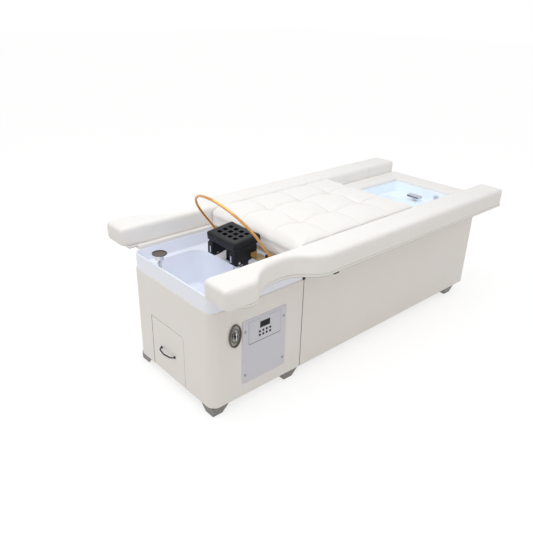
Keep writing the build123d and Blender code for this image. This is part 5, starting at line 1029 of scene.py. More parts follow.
@dataclass
class Armrest:
    """One long padded armrest with a waist beside the basin, and the layers under it."""

    node: str
    side: int
    cell: float = 9 * MM
    rows: tuple[int, int] = (19, 13)
    top_round: float = 24 * MM
    bottom_round: float = 8 * MM
    head_round: float = 26 * MM
    head_tuck: float = 30 * MM
    tuck_reach: float = 110 * MM
    foot_round: float = 32 * MM
    inner_round: float = 20 * MM
    waist_depth: float = 99 * MM
    waist_start: float = 147 * MM
    head_radius: float = 45 * MM
    head_sweep: float = 240 * MM
    flat: float = 25 * MM
    foot_radius: float = 147 * MM
    seam_from_head: float = 1873 * MM
    seam_depth: float = 2.2 * MM
    seam_reach: float = 3.5 * MM
    seam_shade: float = 3 * MM
    stitch_offset: float = 5 * MM
    stitch_lift: float = 0.3 * MM
    stitch_angles: tuple[float, float] = (-25, 205)
    stitch_steps: int = 80
    gather_depth: float = 0.9 * MM
    gather_reach: float = 45 * MM
    gather_pitch: float = 21 * MM
    pleat_depth: float = 1.3 * MM
    pleat_reach: float = 34 * MM
    pleat_count: int = 9
    broad_give: Unevenness = Unevenness(0.8 * MM, 150 * MM, 11)
    fine_give: Unevenness = Unevenness(0.35 * MM, 55 * MM, 21)
    pulls: Unevenness = Unevenness(0.8 * MM, 26 * MM, 31)
    pull_stretch: Point = (1, 1, 0.3)
    still_height: float = 15 * MM
    pad_inner: float = 338 * MM
    board_inner: float = 315 * MM
    board_set_back: float = 48 * MM
    turned: float = 9 * MM
    turned_inset: float = 5 * MM
    turned_overlap: float = 2 * MM
    lining: float = 1.6 * MM
    lining_inset: float = 6 * MM
    end_set_back: float = 34 * MM
    layer_round: float = 100 * MM
    layer_width: float = 100 * MM
    layer_cuts: tuple[int, int, int] = (260, 3, 1)
    layer_edge: float = 0.8 * MM
    finish: Finish = LEATHERETTE

    def build(self) -> None:
        """Model the armrest with the layers under it and dress them."""
        low, high = (tuple(corner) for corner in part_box(self.node))
        cuts = (int((high[0] - low[0]) / self.cell), *self.rows)
        piece = gridded_box(f"padded_{self.node}", low, high, cuts)
        inner_low = self.inner_round if self.side > 0 else self.top_round
        inner_high = self.top_round if self.side > 0 else self.inner_round
        points = points_of(piece)
        near_end = np.exp(-((points[:, 0] - low[0]) / self.tuck_reach) ** 2)
        low_radii = np.empty_like(points)
        low_radii[:] = (self.head_round, inner_low, self.bottom_round)
        low_radii[:, 2] += near_end * (self.head_tuck - self.bottom_round)
        points = rounded(points, low, high, low_radii, (self.foot_round, inner_high, self.top_round))
        move_points(piece, self.waisted(points, low, high))
        push_out(piece, self.give(points_of(piece), low, high))
        add_modifier(piece, "SUBSURF", levels=1, render_levels=1)
        # Painted shade along the cross seam.
        from_seam = np.abs(points_of(piece)[:, 0] - low[0] - self.seam_from_head)
        mark_crease_shade(piece, np.exp(-(from_seam / self.seam_shade) ** 2) * self.seam_depth / self.seam_shade)
        smooth(piece, SOFT_ANGLE)
        if self.seam_depth:
            self.sew_seam(piece, low, high)
        dress(piece, self.finish, Body.BED)
        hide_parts(self.node)
        self.add_layers()

    def add_layers(self) -> None:
        """Model what lies under the pad: the cover's turned edge, the lining's dark edge that paints the
        shadow line under it, and the covered board.
        """
        low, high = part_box("armrest_boards")
        rest_low, rest_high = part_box(self.node)
        outer = rest_high.y if self.side > 0 else rest_low.y
        fold = high.z - self.turned
        for name, inner, inset, bottom, top, finish in (
                ("turned_edge", self.pad_inner, self.turned_inset, fold, high.z + self.turned_overlap,
                 self.finish),
                ("lining_shadow_line", self.pad_inner, self.lining_inset, fold - self.lining, fold, LINING_PAINTED_SHADOW),
                ("board", self.board_inner, self.board_set_back, low.z, high.z, TIGHT_LEATHERETTE)):
            edge = outer - self.side * inset
            ends = (rest_low.x + inset + self.end_set_back, rest_high.x - inset)
            start = self.side * inner
            layer = gridded_box(f"{self.node}_{name}", (ends[0], min(start, edge), bottom),
                                (ends[1], max(start, edge), top), self.layer_cuts)
            points = points_of(layer)
            share = np.clip((points[:, 1] - start) / (edge - start), 0, 1)
            from_end = np.clip((points[:, 0] - ends[0]) / self.layer_round, 0, 1)
            rounding = self.layer_width * (1 - np.sqrt(1 - (1 - from_end) ** 2))
            points[:, 1] -= self.side * share * (self.depth_at(points[:, 0], rest_low.x) + rounding)
            move_points(layer, points)
            ease_edges(layer, self.layer_edge, 2)
            dress(layer, finish, Body.BED)
            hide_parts("armrest_boards")

    def sew_seam(self, piece: bpy.types.Object, low: Point, high: Point) -> None:
        """Sew a row of stitches along each side of the cross seam.

        Args:
            piece: The finished armrest.
            low: Its lowest corner.
            high: Its highest corner.
        """
        middle = [(a + b) / 2 for a, b in zip(low, high)]
        reach = max(high[1] - low[1], high[2] - low[2])
        for name, offset in (("head", -self.stitch_offset), ("foot", self.stitch_offset)):
            centre = Vector((low[0] + self.seam_from_head + offset, middle[1], middle[2]))
            path = []
            for angle in np.radians(np.linspace(*self.stitch_angles, self.stitch_steps + 1)):
                out = Vector((0, math.cos(angle), math.sin(angle)))
                hit, place, normal, _ = piece.ray_cast(centre + out * reach, -out)
                if hit:
                    path.append(place + normal * self.stitch_lift)
            dress(stitch_row(f"{self.node}_stitches_{name}", path), THREAD, Body.BED)

    def depth_at(self, x: np.ndarray, head_x: float) -> np.ndarray:
        """Give how far the outer side is drawn in at each place along the armrest.

        Args:
            x: Places along the bed.
            head_x: Where the armrest starts.

        Returns:
            The depth of the waist, in metres.
        """
        start = head_x + self.waist_start
        head_angle = math.acos(1 - self.waist_depth / (self.head_radius + self.head_sweep))
        foot_angle = math.acos(1 - self.waist_depth / (2 * self.foot_radius))
        turn = start + self.head_radius * math.sin(head_angle)
        flat_start = start + (self.head_radius + self.head_sweep) * math.sin(head_angle)
        flat_end = flat_start + self.flat
        back = flat_end + self.foot_radius * math.sin(foot_angle)
        end = flat_end + 2 * self.foot_radius * math.sin(foot_angle)

        def bow(radius: float, centre: float) -> np.ndarray:
            """Give the depth of a circular arc at each place, from its lowest point outwards."""
            return radius - np.sqrt(np.maximum(radius ** 2 - (x - centre) ** 2, 0))

        return np.select(((x > start) & (x <= turn), (x > turn) & (x < flat_start),
                          (x >= flat_start) & (x <= flat_end), (x > flat_end) & (x <= back),
                          (x > back) & (x < end)),
                         (bow(self.head_radius, start), self.waist_depth - bow(self.head_sweep, flat_start),
                          self.waist_depth, self.waist_depth - bow(self.foot_radius, flat_end),
                          bow(self.foot_radius, end)), 0)

    def waisted(self, points: np.ndarray, low: Point, high: Point) -> np.ndarray:
        """Draw in the outer side, and leave the roundings of both long edges as they are.

        Args:
            points: The rounded box's vertices.
            low: The armrest's lowest corner.
            high: Its highest corner.

        Returns:
            The moved vertices.
        """
        points = points.copy()
        inner_y = low[1] if self.side > 0 else high[1]
        width = high[1] - low[1]
        from_inner = (points[:, 1] - inner_y) * self.side
        share = np.clip((from_inner - self.inner_round) / (width - self.inner_round - self.top_round), 0, 1)
        points[:, 1] -= self.side * share * self.depth_at(points[:, 0], low[0])
        return points

    def give(self, points: np.ndarray, low: Point, high: Point) -> np.ndarray:
        """Work out the foam's give, the gathers in the cover and its one seam.

        Args:
            points: The armrest's vertices.
            low: The armrest's lowest corner.
            high: Its highest corner.

        Returns:
            How far each vertex moves along its normal.
        """
        x, z = points[:, 0], points[:, 2]
        soft = self.broad_give.at(points, self.side) + self.fine_give.at(points)
        to_end = np.minimum(x - low[0], high[0] - x)
        gathers = self.gather_depth * np.exp(-to_end / self.gather_reach)
        gathers *= np.sin(points[:, 1] * 2 * math.pi / self.gather_pitch)
        waist = self.depth_at(x, low[0]) / self.waist_depth
        pulls = waist * (1 - waist) * 4 * self.pulls.at(points * self.pull_stretch)
        from_x = x - low[0] - self.head_round
        from_y = points[:, 1] - (high[1] if self.side > 0 else low[1]) + self.side * self.top_round
        from_corner = np.sqrt(from_x ** 2 + from_y ** 2 + (z - high[2]) ** 2)
        pleats = self.pleat_depth * np.exp(-(from_corner / self.pleat_reach) ** 2)
        pleats *= np.sin(np.arctan2(from_y, from_x) * self.pleat_count)
        seam = -self.seam_depth * np.exp(-np.abs(x - low[0] - self.seam_from_head) / self.seam_reach)
        off_base = np.clip((z - low[2]) / self.still_height, 0, 1)
        return (soft + gathers + pulls + seam + pleats) * off_base


@dataclass
class TrayBorder:
    """The padded border round the foot bath, and the dark strip under it that paints the shadow in the joint.
    """

    cell: float = 9 * MM
    layers: int = 5
    edge_round: float = 11 * MM
    base_round: float = 3 * MM
    mouth_head: float = 95 * MM
    mouth_length: float = 483 * MM
    mouth_half_width: float = 215 * MM
    mouth_cuts: int = 3
    mouth_fall: float = 0.8
    crown: float = 2.5 * MM
    crown_reach: float = 40 * MM
    still_height: float = 6 * MM
    strip: float = 2.0 * MM
    strip_corner: float = 6 * MM
    strip_steps: int = 6
    give: tuple[Unevenness, ...] = (Unevenness(0.7 * MM, 110 * MM, 41), Unevenness(0.3 * MM, 45 * MM, 42))
    finish: Finish = LEATHERETTE

    def build(self) -> None:
        """Model the border with the dark shadow strip under it and dress both."""
        low, high = (tuple(corner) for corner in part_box("tray_pad"))
        mouth_x = (low[0] + self.mouth_head, low[0] + self.mouth_head + self.mouth_length)
        mouth_y = (-self.mouth_half_width, self.mouth_half_width)
        cuts = (int((high[0] - low[0]) / self.cell), int((high[1] - low[1]) / self.cell), self.layers)
        piece = gridded_box("padded_tray_border", low, high, cuts)
        points = points_of(piece)
        points[:, 0] = self.aligned(points[:, 0], low[0], high[0], mouth_x, cuts[0] + 1)
        points[:, 1] = self.aligned(points[:, 1], low[1], high[1], mouth_y, cuts[1] + 1)
        move_points(piece, points)
        self.open_mouth(piece, mouth_x, mouth_y)
        points = rounded(points_of(piece), low, high, (self.edge_round, self.edge_round, self.base_round),
                         (self.edge_round,) * 3)
        move_points(piece, self.softened(points, low, high, mouth_x, mouth_y))
        points = points_of(piece)
        off_base = points[:, 2] > low[2] + self.still_height
        push_out(piece, sum(wave.at(points) for wave in self.give) * off_base)
        add_modifier(piece, "SUBSURF", levels=1, render_levels=1)
        smooth(piece, SOFT_ANGLE)
        dress(piece, self.finish, Body.BED)
        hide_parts("tray_pad")
        self.lay_mouth_shadow_strip(low[2], mouth_x, mouth_y)

    def lay_mouth_shadow_strip(self, base_z: float, mouth_x: tuple[float, float], mouth_y: tuple[float, float]) -> None:
        """Lay the dark foam strip that paints the shadow in the joint between the border and the bath's lip.

        Args:
            base_z: The border's underside.
            mouth_x: The mouth's edges along the bed.
            mouth_y: Its edges across the bed.
        """
        path = []
        for x, y, start in ((mouth_x[1], mouth_y[1], 0), (mouth_x[0], mouth_y[1], 90),
                            (mouth_x[0], mouth_y[0], 180), (mouth_x[1], mouth_y[0], 270)):
            centre = (x - math.copysign(self.strip_corner, x - sum(mouth_x) / 2),
                      y - math.copysign(self.strip_corner, y))
            path += arc_points(centre, self.strip_corner, start, start + 90, self.strip_steps,
                               base_z + self.strip)
        strip = bead_along("bath_mouth_shadow_strip", path + path[:1], self.strip)
        smooth(strip)
        dress(strip, SHADOW_GAP_FOAM, Body.BED)

    def aligned(self, values: np.ndarray, low: float, high: float, mouth: tuple[float, float],
                steps: int) -> np.ndarray:
        """Slide an even grid along one axis so that two of its lines lie on the mouth's edges.

        Args:
            values: The vertices' places along the axis.
            low: Where the grid starts.
            high: Where it ends.
            mouth: The mouth's two edges.
            steps: How many cells the grid has.

        Returns:
            The moved places.
        """
        size = (high - low) / steps
        lines = [low + round((edge - low) / size) * size for edge in mouth]
        return np.interp(values, [low, *lines, high], [low, *mouth, high])

    def open_mouth(self, piece: bpy.types.Object, mouth_x: tuple[float, float],
                   mouth_y: tuple[float, float]) -> None:
        """Cut the mouth through the slab and wall it.

        Args:
            piece: The gridded slab.
            mouth_x: The mouth's edges along the bed.
            mouth_y: Its edges across the bed.
        """
        def inside(face: bmesh.types.BMFace) -> bool:
            """Say whether a face lies over the mouth."""
            centre = face.calc_center_median()
            return mouth_x[0] < centre.x < mouth_x[1] and mouth_y[0] < centre.y < mouth_y[1]

        with editing(piece) as mesh:
            pick(piece, mesh.faces, inside)
            bpy.ops.mesh.delete(type="FACE")
            mesh = bmesh.from_edit_mesh(piece.data)
            pick(piece, mesh.edges, lambda edge: edge.is_boundary)
            bpy.ops.mesh.bridge_edge_loops(number_cuts=self.mouth_cuts)

    def softened(self, points: np.ndarray, low: Point, high: Point, mouth_x: tuple[float, float],
                 mouth_y: tuple[float, float]) -> np.ndarray:
        """Round the mouth's upper edge and raise a low crown between the edges.

        Args:
            points: The vertices.
            low: The border's lowest corner.
            high: Its highest corner.
            mouth_x: The mouth's edges along the bed.
            mouth_y: Its edges across the bed.

        Returns:
            The moved vertices.
        """
        points = points.copy()
        x, y = points[:, 0], points[:, 1]
        out_x = np.maximum(np.maximum(mouth_x[0] - x, x - mouth_x[1]), 0)
        out_y = np.maximum(np.maximum(mouth_y[0] - y, y - mouth_y[1]), 0)
        from_mouth = np.hypot(out_x, out_y)
        rounding = np.clip(1 - from_mouth / self.edge_round, 0, 1)
        fall = self.edge_round * (1 - np.sqrt(1 - rounding ** 2)) * self.mouth_fall
        to_edge = np.minimum(np.minimum(x - low[0], high[0] - x), np.minimum(y - low[1], high[1] - y))
        swell = self.crown * np.clip(np.minimum(from_mouth, to_edge) / self.crown_reach, 0, 1) ** 0.5
        upper = points[:, 2] > high[2] - MM
        points[:, 2] += np.where(upper, swell - self.crown - fall, 0)
        return points


# Rigid sub-assemblies

@dataclass
class HeadCabinet:
    """Trim of the head cabinet: the sealing bead under the basin's skirt."""

    bead: float = 2.2 * MM
    inset: float = 4 * MM
    foot_inset: float = 9 * MM
    corner: float = 42 * MM
    corner_steps: int = 10

    def build(self) -> None:
        """Model the bead along three sides and dress it."""
        low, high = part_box("head_cabinet_shell")
        x0, x1 = low.x + self.inset, high.x - self.foot_inset
        y1 = high.y - self.inset
        z = high.z + self.bead / 2
        path = [(x1, -y1, z)]
        for side, start in ((-1, 270), (1, 180)):
            path += arc_points((x0 + self.corner, side * (y1 - self.corner)), self.corner, start, start - 90,
                               self.corner_steps, z)
        bead = bead_along("skirt_sealing_bead", path + [(x1, y1, z)], self.bead)
        smooth(bead)
        dress(bead, SILICONE, Body.BED)


@dataclass
class BedBody:
    """The flat bearers under the armrests, the spacers in the joint to the head cabinet, and the dark strips
    there that paint the shadow in the joint.
    """

    strip: float = 0.8 * MM
    strip_start: float = 4 * MM
    strip_steps: int = 24
    top_gap: float = 3 * MM
    bearer_reach: float = 452 * MM
    first_reach: float = 478 * MM
    bearer_corner: float = 8 * MM
    bearer_facets: int = 5
    bearer_cuts: tuple[int, int, int] = (1, 30, 1)
    spacer: Point = (12 * MM, 5 * MM, 18 * MM)
    spacer_drop: float = 62 * MM
    spacer_edge: float = 1.2 * MM
    spacer_cuts: tuple[int, int, int] = (2, 2, 3)
    screw_radius: float = 5 * MM
    screw_from_end: float = 22 * MM
    screw_dome: float = 0.5
    screw_facets: tuple[int, int] = (24, 12)

    def build(self) -> None:
        """Model the bearers, the spacers and the strips and dress them."""
        self.lay_bearers()
        low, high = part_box("bed_body_shell")
        for name, y in (("left", high.y), ("right", low.y)):
            middle = Vector((low.x, y, high.z - self.spacer_drop - self.spacer[2] / 2))
            half = Vector(self.spacer) / 2
            spacer = gridded_box(f"joint_spacer_{name}", middle - half, middle + half, self.spacer_cuts)
            ease_edges(spacer, self.spacer_edge)
            dress(spacer, NITRILE_RUBBER, Body.BED)
        # Dark strips up each side of the joint: painted shadow in the seam.
        rise = (high.z - self.top_gap - low.z) / self.strip_steps
        for name, y in (("left", high.y), ("right", low.y)):
            path = [(low.x, y, low.z + self.strip_start + rise * step) for step in range(self.strip_steps)]
            strip = bead_along(f"joint_shadow_strip_{name}", path, self.strip)
            smooth(strip)
            dress(strip, SHADOW_GAP_FOAM, Body.BED)

    def lay_bearers(self) -> None:
        """Lay each flat bar across the body, with rounded ends and a domed screw head under each end."""
        low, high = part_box("steel_bearers")
        places = sorted({round(vertex.co.x, HAIR_DIGITS)
                         for vertex in frame["nodes"]["steel_bearers"].data.vertices})
        for number, (start, end) in enumerate(zip(places[::2], places[1::2])):
            reach = self.bearer_reach if number else self.first_reach
            bar = gridded_box(f"flat_bearer_{number + 1}", (start, -reach, low.z), (end, reach, high.z),
                              self.bearer_cuts)

            def at_corner(edge: bmesh.types.BMEdge) -> bool:
                """Say whether an edge stands at one of the bar's four corners.

                Args:
                    edge: The edge.

                Returns:
                    True where it does.
                """
                return all(abs(abs(vertex.co.y) - reach) < HAIR
                           and min(abs(vertex.co.x - start), abs(vertex.co.x - end)) < HAIR
                           for vertex in edge.verts) and abs(edge.verts[0].co.x - edge.verts[1].co.x) < HAIR

            with editing(bar) as mesh:
                pick(bar, mesh.edges, at_corner)
                bpy.ops.mesh.bevel(offset=self.bearer_corner, segments=self.bearer_facets, affect="EDGES")
            for side in (-1, 1):
                self.add_screw_head(f"bearer_screw_{number + 1}_{side_name(side)}",
                                    (start + end) / 2, side * (reach - self.screw_from_end), low.z)
            smooth(bar)
            dress(bar, POWDER_COAT, Body.BED)
            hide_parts("steel_bearers")

    def add_screw_head(self, name: str, x: float, y: float, z: float) -> None:
        """Model one domed screw head under a bearer.

        Args:
            name: The piece's name.
            x: Its place along the bed.
            y: Its place across the bed.
            z: The bearer's underside.
        """
        head = add_shape(name, bpy.ops.mesh.primitive_uv_sphere_add, (1, 1, self.screw_dome),
                         segments=self.screw_facets[0], ring_count=self.screw_facets[1],
                         radius=self.screw_radius, location=(x, y, z))
        with editing(head):
            bpy.ops.mesh.select_all(action="SELECT")
            bpy.ops.mesh.bisect(plane_co=(x, y, z), plane_no=(0, 0, 1), use_fill=True, clear_outer=True)
        smooth(head)
        dress(head, ZINC_PLATE, Body.BED)


@dataclass
class Drawer:
    """The dark strip that paints the shadow in the reveal round the drawer front, and the bow handle."""

    reveal: float = 1.5 * MM
    strip: float = 0.95 * MM
    strip_sink: float = 0.9 * MM
    strip_start: float = 3 * MM
    near_radius: float = 17.75 * MM
    far_radius: float = 4.75 * MM
    steps: int = 10
    bar: float = 3.8 * MM
    bar_sides: int = 6
    foot_radius: float = 7.5 * MM
    foot_thickness: float = 3.5 * MM
    foot_edge: float = 1.2 * MM
    foot_facets: int = 40
    foot_from_end: float = 8 * MM
    handle_depth: float = 23 * MM
    bend: float = 32 * MM
    bow: float = 4 * MM

    def build(self) -> None:
        """Model the strip in the reveal and the handle and dress them."""
        self.bend_handle()
        low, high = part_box("drawer_front")
        half = self.reveal / 2
        y0, y1, z1 = low.y - half, high.y + half, high.z + half
        path = [(y0, low.z + self.strip_start)]
        for centre_y, radius, start in ((y0 + self.near_radius, self.near_radius, 180),
                                        (y1 - self.far_radius, self.far_radius, 90)):
            corner = arc_points((centre_y, z1 - radius), radius, start, start - 90, self.steps, 0)
            path += [(y, z) for y, z, _ in corner]
        path.append((y1, low.z + self.strip_start))
        path = [(low.x + self.strip_sink, y, z) for y, z in path]
        # A dark strip sunk in the reveal: painted shadow.
        strip = bead_along("drawer_reveal_shadow_strip", path, self.strip)
        smooth(strip)
        dress(strip, SHADOW_GAP_FOAM, Body.BED)

    def bend_handle(self) -> None:
        """Bend the handle's round bar, slightly bowed at its middle, and set a turned foot at each end."""
        low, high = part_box("drawer_handle")
        middle = (low + high) / 2
        reach = (high.y - low.y) / 2 - self.foot_from_end
        out = high.x - self.handle_depth
        shares = [step / self.steps for step in range(self.steps + 1)]
        half = [(out + self.handle_depth * (1 - math.sin(math.pi / 2 * share)),
                 self.bend * (1 - math.cos(math.pi / 2 * share)) - reach) for share in shares]
        half += [(out - self.bow * math.sin(math.pi / 2 * share), (self.bend - reach) * (1 - share))
                 for share in shares[1:]]
        whole = half + [(x, -y) for x, y in reversed(half[:-1])]
        bar = bead_along("bow_handle_bar", [(x, middle.y + y, middle.z) for x, y in whole], self.bar,
                         self.bar_sides)
        smooth(bar, CAST_ANGLE)
        dress(bar, BLACK_CHROME, Body.DRAWER)
        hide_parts("drawer_handle")
        for side in (1, -1):
            foot = add_shape(f"bow_handle_foot_{side_name(side)}", bpy.ops.mesh.primitive_cylinder_add,
                             vertices=self.foot_facets, radius=self.foot_radius, depth=self.foot_thickness,
                             rotation=(0, math.pi / 2, 0),
                             location=(high.x - self.foot_thickness / 2, middle.y + side * reach, middle.z))
            ease_edges(foot, self.foot_edge)
            dress(foot, BLACK_CHROME, Body.DRAWER)
            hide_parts("drawer_handle")


@dataclass
class ControlPanel:
    """The printed border on the film, the dark line along the film's foot, the printed bezel round the
    display, and the cup washers under the panel's screws.

    A margin is how far a line's outer edge lies inside the left, right, lower and upper edge of its film.
    """

    line: float = 1.1 * MM
    rule: float = 0.825 * MM
    bezel: float = 2.2 * MM
    ink: float = 0.15 * MM
    proud: float = 0.05 * MM
    border_margin: tuple[float, ...] = (2 * MM, 2 * MM, 1.5 * MM, 2 * MM)
    rule_margin: tuple[float, float] = (4 * MM, 2 * MM)
    rule_height: tuple[float, float] = (-0.6 * MM, 1.2 * MM)
    bezel_reach: float = 3 * MM
    screw_span: float = 238 * MM
    washer_radius: float = 5.6 * MM
    washer_height: float = 1.5 * MM
    washer_rim: float = 1.1 * MM
    washer_slope: float = 0.8 * MM
    washer_edge: float = 0.25 * MM
    washer_facets: int = 40

    def build(self) -> None:
        """Model the borders and the washers and dress them."""
        low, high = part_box("control_overlay")
        face_y = low.y - self.proud
        left, right, lower, upper = self.border_margin
        border = self.printed_border("overlay_printed_border", (low.x + left, high.x - right),
                                     (low.z + lower, high.z - upper), face_y, self.line)
        dress(border, SCREEN_INK, Body.BED)
        left, right = self.rule_margin
        lower, upper = self.rule_height
        rule = self.printed_border("overlay_dark_foot_line", (low.x + left, high.x - right),
                                   (low.z + lower, low.z + upper), face_y, self.rule)
        dress(rule, DARK_FOOT_LINE, Body.BED)
        low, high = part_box("display_window")
        reach = self.bezel_reach
        bezel = self.printed_border("display_printed_bezel", (low.x - reach, high.x + reach),
                                    (low.z - reach, high.z + reach), face_y, self.bezel)
        dress(bezel, SMOKED_ACRYLIC, Body.BED)
        low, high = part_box("panel_screws")
        plate_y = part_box("control_plate")[0].y
        inset = (high.x - low.x - self.screw_span) / 2
        corners = [(x, z) for z in (low.z + inset, high.z - inset) for x in (low.x + inset, high.x - inset)]
        for number, (x, z) in enumerate(corners):
            self.cup_washer(f"panel_cup_washer_{number + 1}", x, plate_y, z)

    def printed_border(self, name: str, x: tuple[float, float], z: tuple[float, float], face_y: float,
                       width: float) -> bpy.types.Object:
        """Print one rectangular border on an upright face.

        Args:
            name: The piece's name.
            x: Its two sides.
            z: Its lower and upper edge.
            face_y: Where the face lies.
            width: The line's width.

        Returns:
            The new piece.
        """
        piece = add_shape(name, bpy.ops.mesh.primitive_plane_add, (x[1] - x[0], z[1] - z[0], 1), size=1.0,
                          rotation=(math.pi / 2, 0, 0),
                          location=((x[0] + x[1]) / 2, face_y, (z[0] + z[1]) / 2))
        with editing(piece) as mesh:
            pick(piece, mesh.faces, lambda face: True)
            bpy.ops.mesh.inset(thickness=width)
            bpy.ops.mesh.delete(type="FACE")
            bpy.ops.mesh.select_mode(type="FACE")
            bpy.ops.mesh.select_all(action="SELECT")
            bpy.ops.mesh.extrude_region_move(TRANSFORM_OT_translate={"value": (0, -self.ink, 0)})
            bpy.ops.mesh.select_all(action="SELECT")
            bpy.ops.mesh.normals_make_consistent(inside=False)
        smooth(piece)
        return piece

    def cup_washer(self, name: str, x: float, face_y: float, z: float) -> None:
        """Model one cup washer lying on an upright face.

        Args:
            name: The piece's name.
            x: Its centre along the bed.
            face_y: Where the face lies.
            z: Its centre's height.
        """
        piece = add_shape(name, bpy.ops.mesh.primitive_cylinder_add, vertices=self.washer_facets,
                          radius=self.washer_radius, depth=self.washer_height, rotation=(math.pi / 2, 0, 0),
                          location=(x, face_y - self.washer_height / 2, z))
        with editing(piece) as mesh:
            pick(piece, mesh.faces, lambda face: face.normal.y < -FACING)
            bpy.ops.mesh.inset(thickness=self.washer_rim)
            bpy.ops.mesh.inset(thickness=self.washer_slope)
            bpy.ops.transform.translate(value=(0, self.washer_rim, 0))
        ease_edges(piece, self.washer_edge, 2)
        dress(piece, BLACK_CHROME, Body.BED)


@dataclass
class MixerTap:
    """The rolled rims of the oval plate, the trim ring round the lever's hub, and the lever on its hub."""

    ring_radius: float = 14 * MM
    ring_thickness: float = 1.8 * MM
    ring_sink: float = 0.6 * MM
    ring_facets: tuple[int, int] = (64, 16)
    rim: float = 3.4 * MM
    inner_rim: float = 1.3 * MM
    inner_share: float = 0.62
    rim_steps: int = 90
    rim_rise: float = 0.2
    lever_half: Point = (4.2 * MM, 4.4 * MM, 21 * MM)
    lever_stand: float = 4 * MM
    lever_facets: tuple[int, int] = (32, 24)
    waist_share: float = 0.38
    waist_reach: float = 0.4
    hub_radius: float = 9 * MM
    hub_sink: float = 3 * MM
    hub_edge: float = 2.5 * MM
    hub_edge_facets: int = 4
    hub_facets: int = 48
    low: Vector = field(init=False)
    middle: Vector = field(init=False)
    half: Vector = field(init=False)

    def __post_init__(self) -> None:
        """Take the plate's place from the frame."""
        self.low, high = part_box("mixer_plate")
        self.middle = (self.low + high) / 2
        self.half = (high - self.low) / 2

    def build(self) -> None:
        """Model the rims, the lever and the ring and dress them."""
        self.roll_rim("mixer_rolled_rim", 1.0, self.rim)
        self.roll_rim("mixer_inner_rim", self.inner_share, self.inner_rim)
        self.forge_lever()
        ring = add_shape("mixer_trim_ring", bpy.ops.mesh.primitive_torus_add, major_radius=self.ring_radius,
                         minor_radius=self.ring_thickness, major_segments=self.ring_facets[0],
                         minor_segments=self.ring_facets[1], rotation=(math.pi / 2, 0, 0),
                         location=(self.middle.x, self.low.y + self.ring_sink, self.middle.z))
        with editing(ring) as mesh:
            pick(ring, mesh.faces, lambda face: face.normal.y < -FACING)
            bpy.ops.transform.translate(value=(0, -self.ring_sink, 0))
        smooth(ring, CAST_ANGLE)
        dress(ring, BRUSHED_NICKEL, Body.BED)

    def roll_rim(self, name: str, share: float, radius: float) -> None:
        """Roll one oval rim on the plate's face.

        Args:
            name: The piece's name.
            share: The oval's size, where 1 is the plate's own.
            radius: Half the rim's thickness.
        """
        half_x, half_z = self.half.x * share - radius, self.half.z * share - radius
        turns = [2 * math.pi * step / self.rim_steps for step in range(self.rim_steps + 1)]
        rim = bead_along(name, [(self.middle.x + half_x * math.cos(turn), self.low.y + radius * self.rim_rise,
                                 self.middle.z + half_z * math.sin(turn)) for turn in turns], radius)
        smooth(rim, CAST_ANGLE)
        dress(rim, BROWN_NICKEL, Body.BED)

    def forge_lever(self) -> None:
        """Model the lever as a slim bar with swollen ends, on a domed hub."""
        middle = self.middle
        lever = add_shape("forged_mixer_lever", bpy.ops.mesh.primitive_uv_sphere_add, self.lever_half,
                          segments=self.lever_facets[0], ring_count=self.lever_facets[1], radius=1.0,
                          location=(middle.x, self.low.y - self.lever_stand, middle.z))
        points = points_of(lever)
        from_middle = np.abs(points[:, 2] - middle.z) / self.lever_half[2]
        waist = 1 - self.waist_share * np.exp(-(from_middle / self.waist_reach) ** 2)
        points[:, 0] = middle.x + (points[:, 0] - middle.x) * waist
        move_points(lever, points)
        smooth(lever, CAST_ANGLE)
        dress(lever, BRIGHT_CHROME, Body.MIXER)
        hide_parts("mixer_lever")
        front_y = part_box("mixer_lever")[0].y
        hub = add_shape("mixer_lever_hub", bpy.ops.mesh.primitive_cylinder_add, vertices=self.hub_facets,
                        radius=self.hub_radius, depth=self.low.y - front_y, rotation=(math.pi / 2, 0, 0),
                        location=(middle.x, (self.low.y + front_y) / 2 + self.hub_sink, middle.z))
        ease_edges(hub, self.hub_edge, self.hub_edge_facets)
        dress(hub, BLACK_CHROME, Body.MIXER)
        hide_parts("mixer_lever")


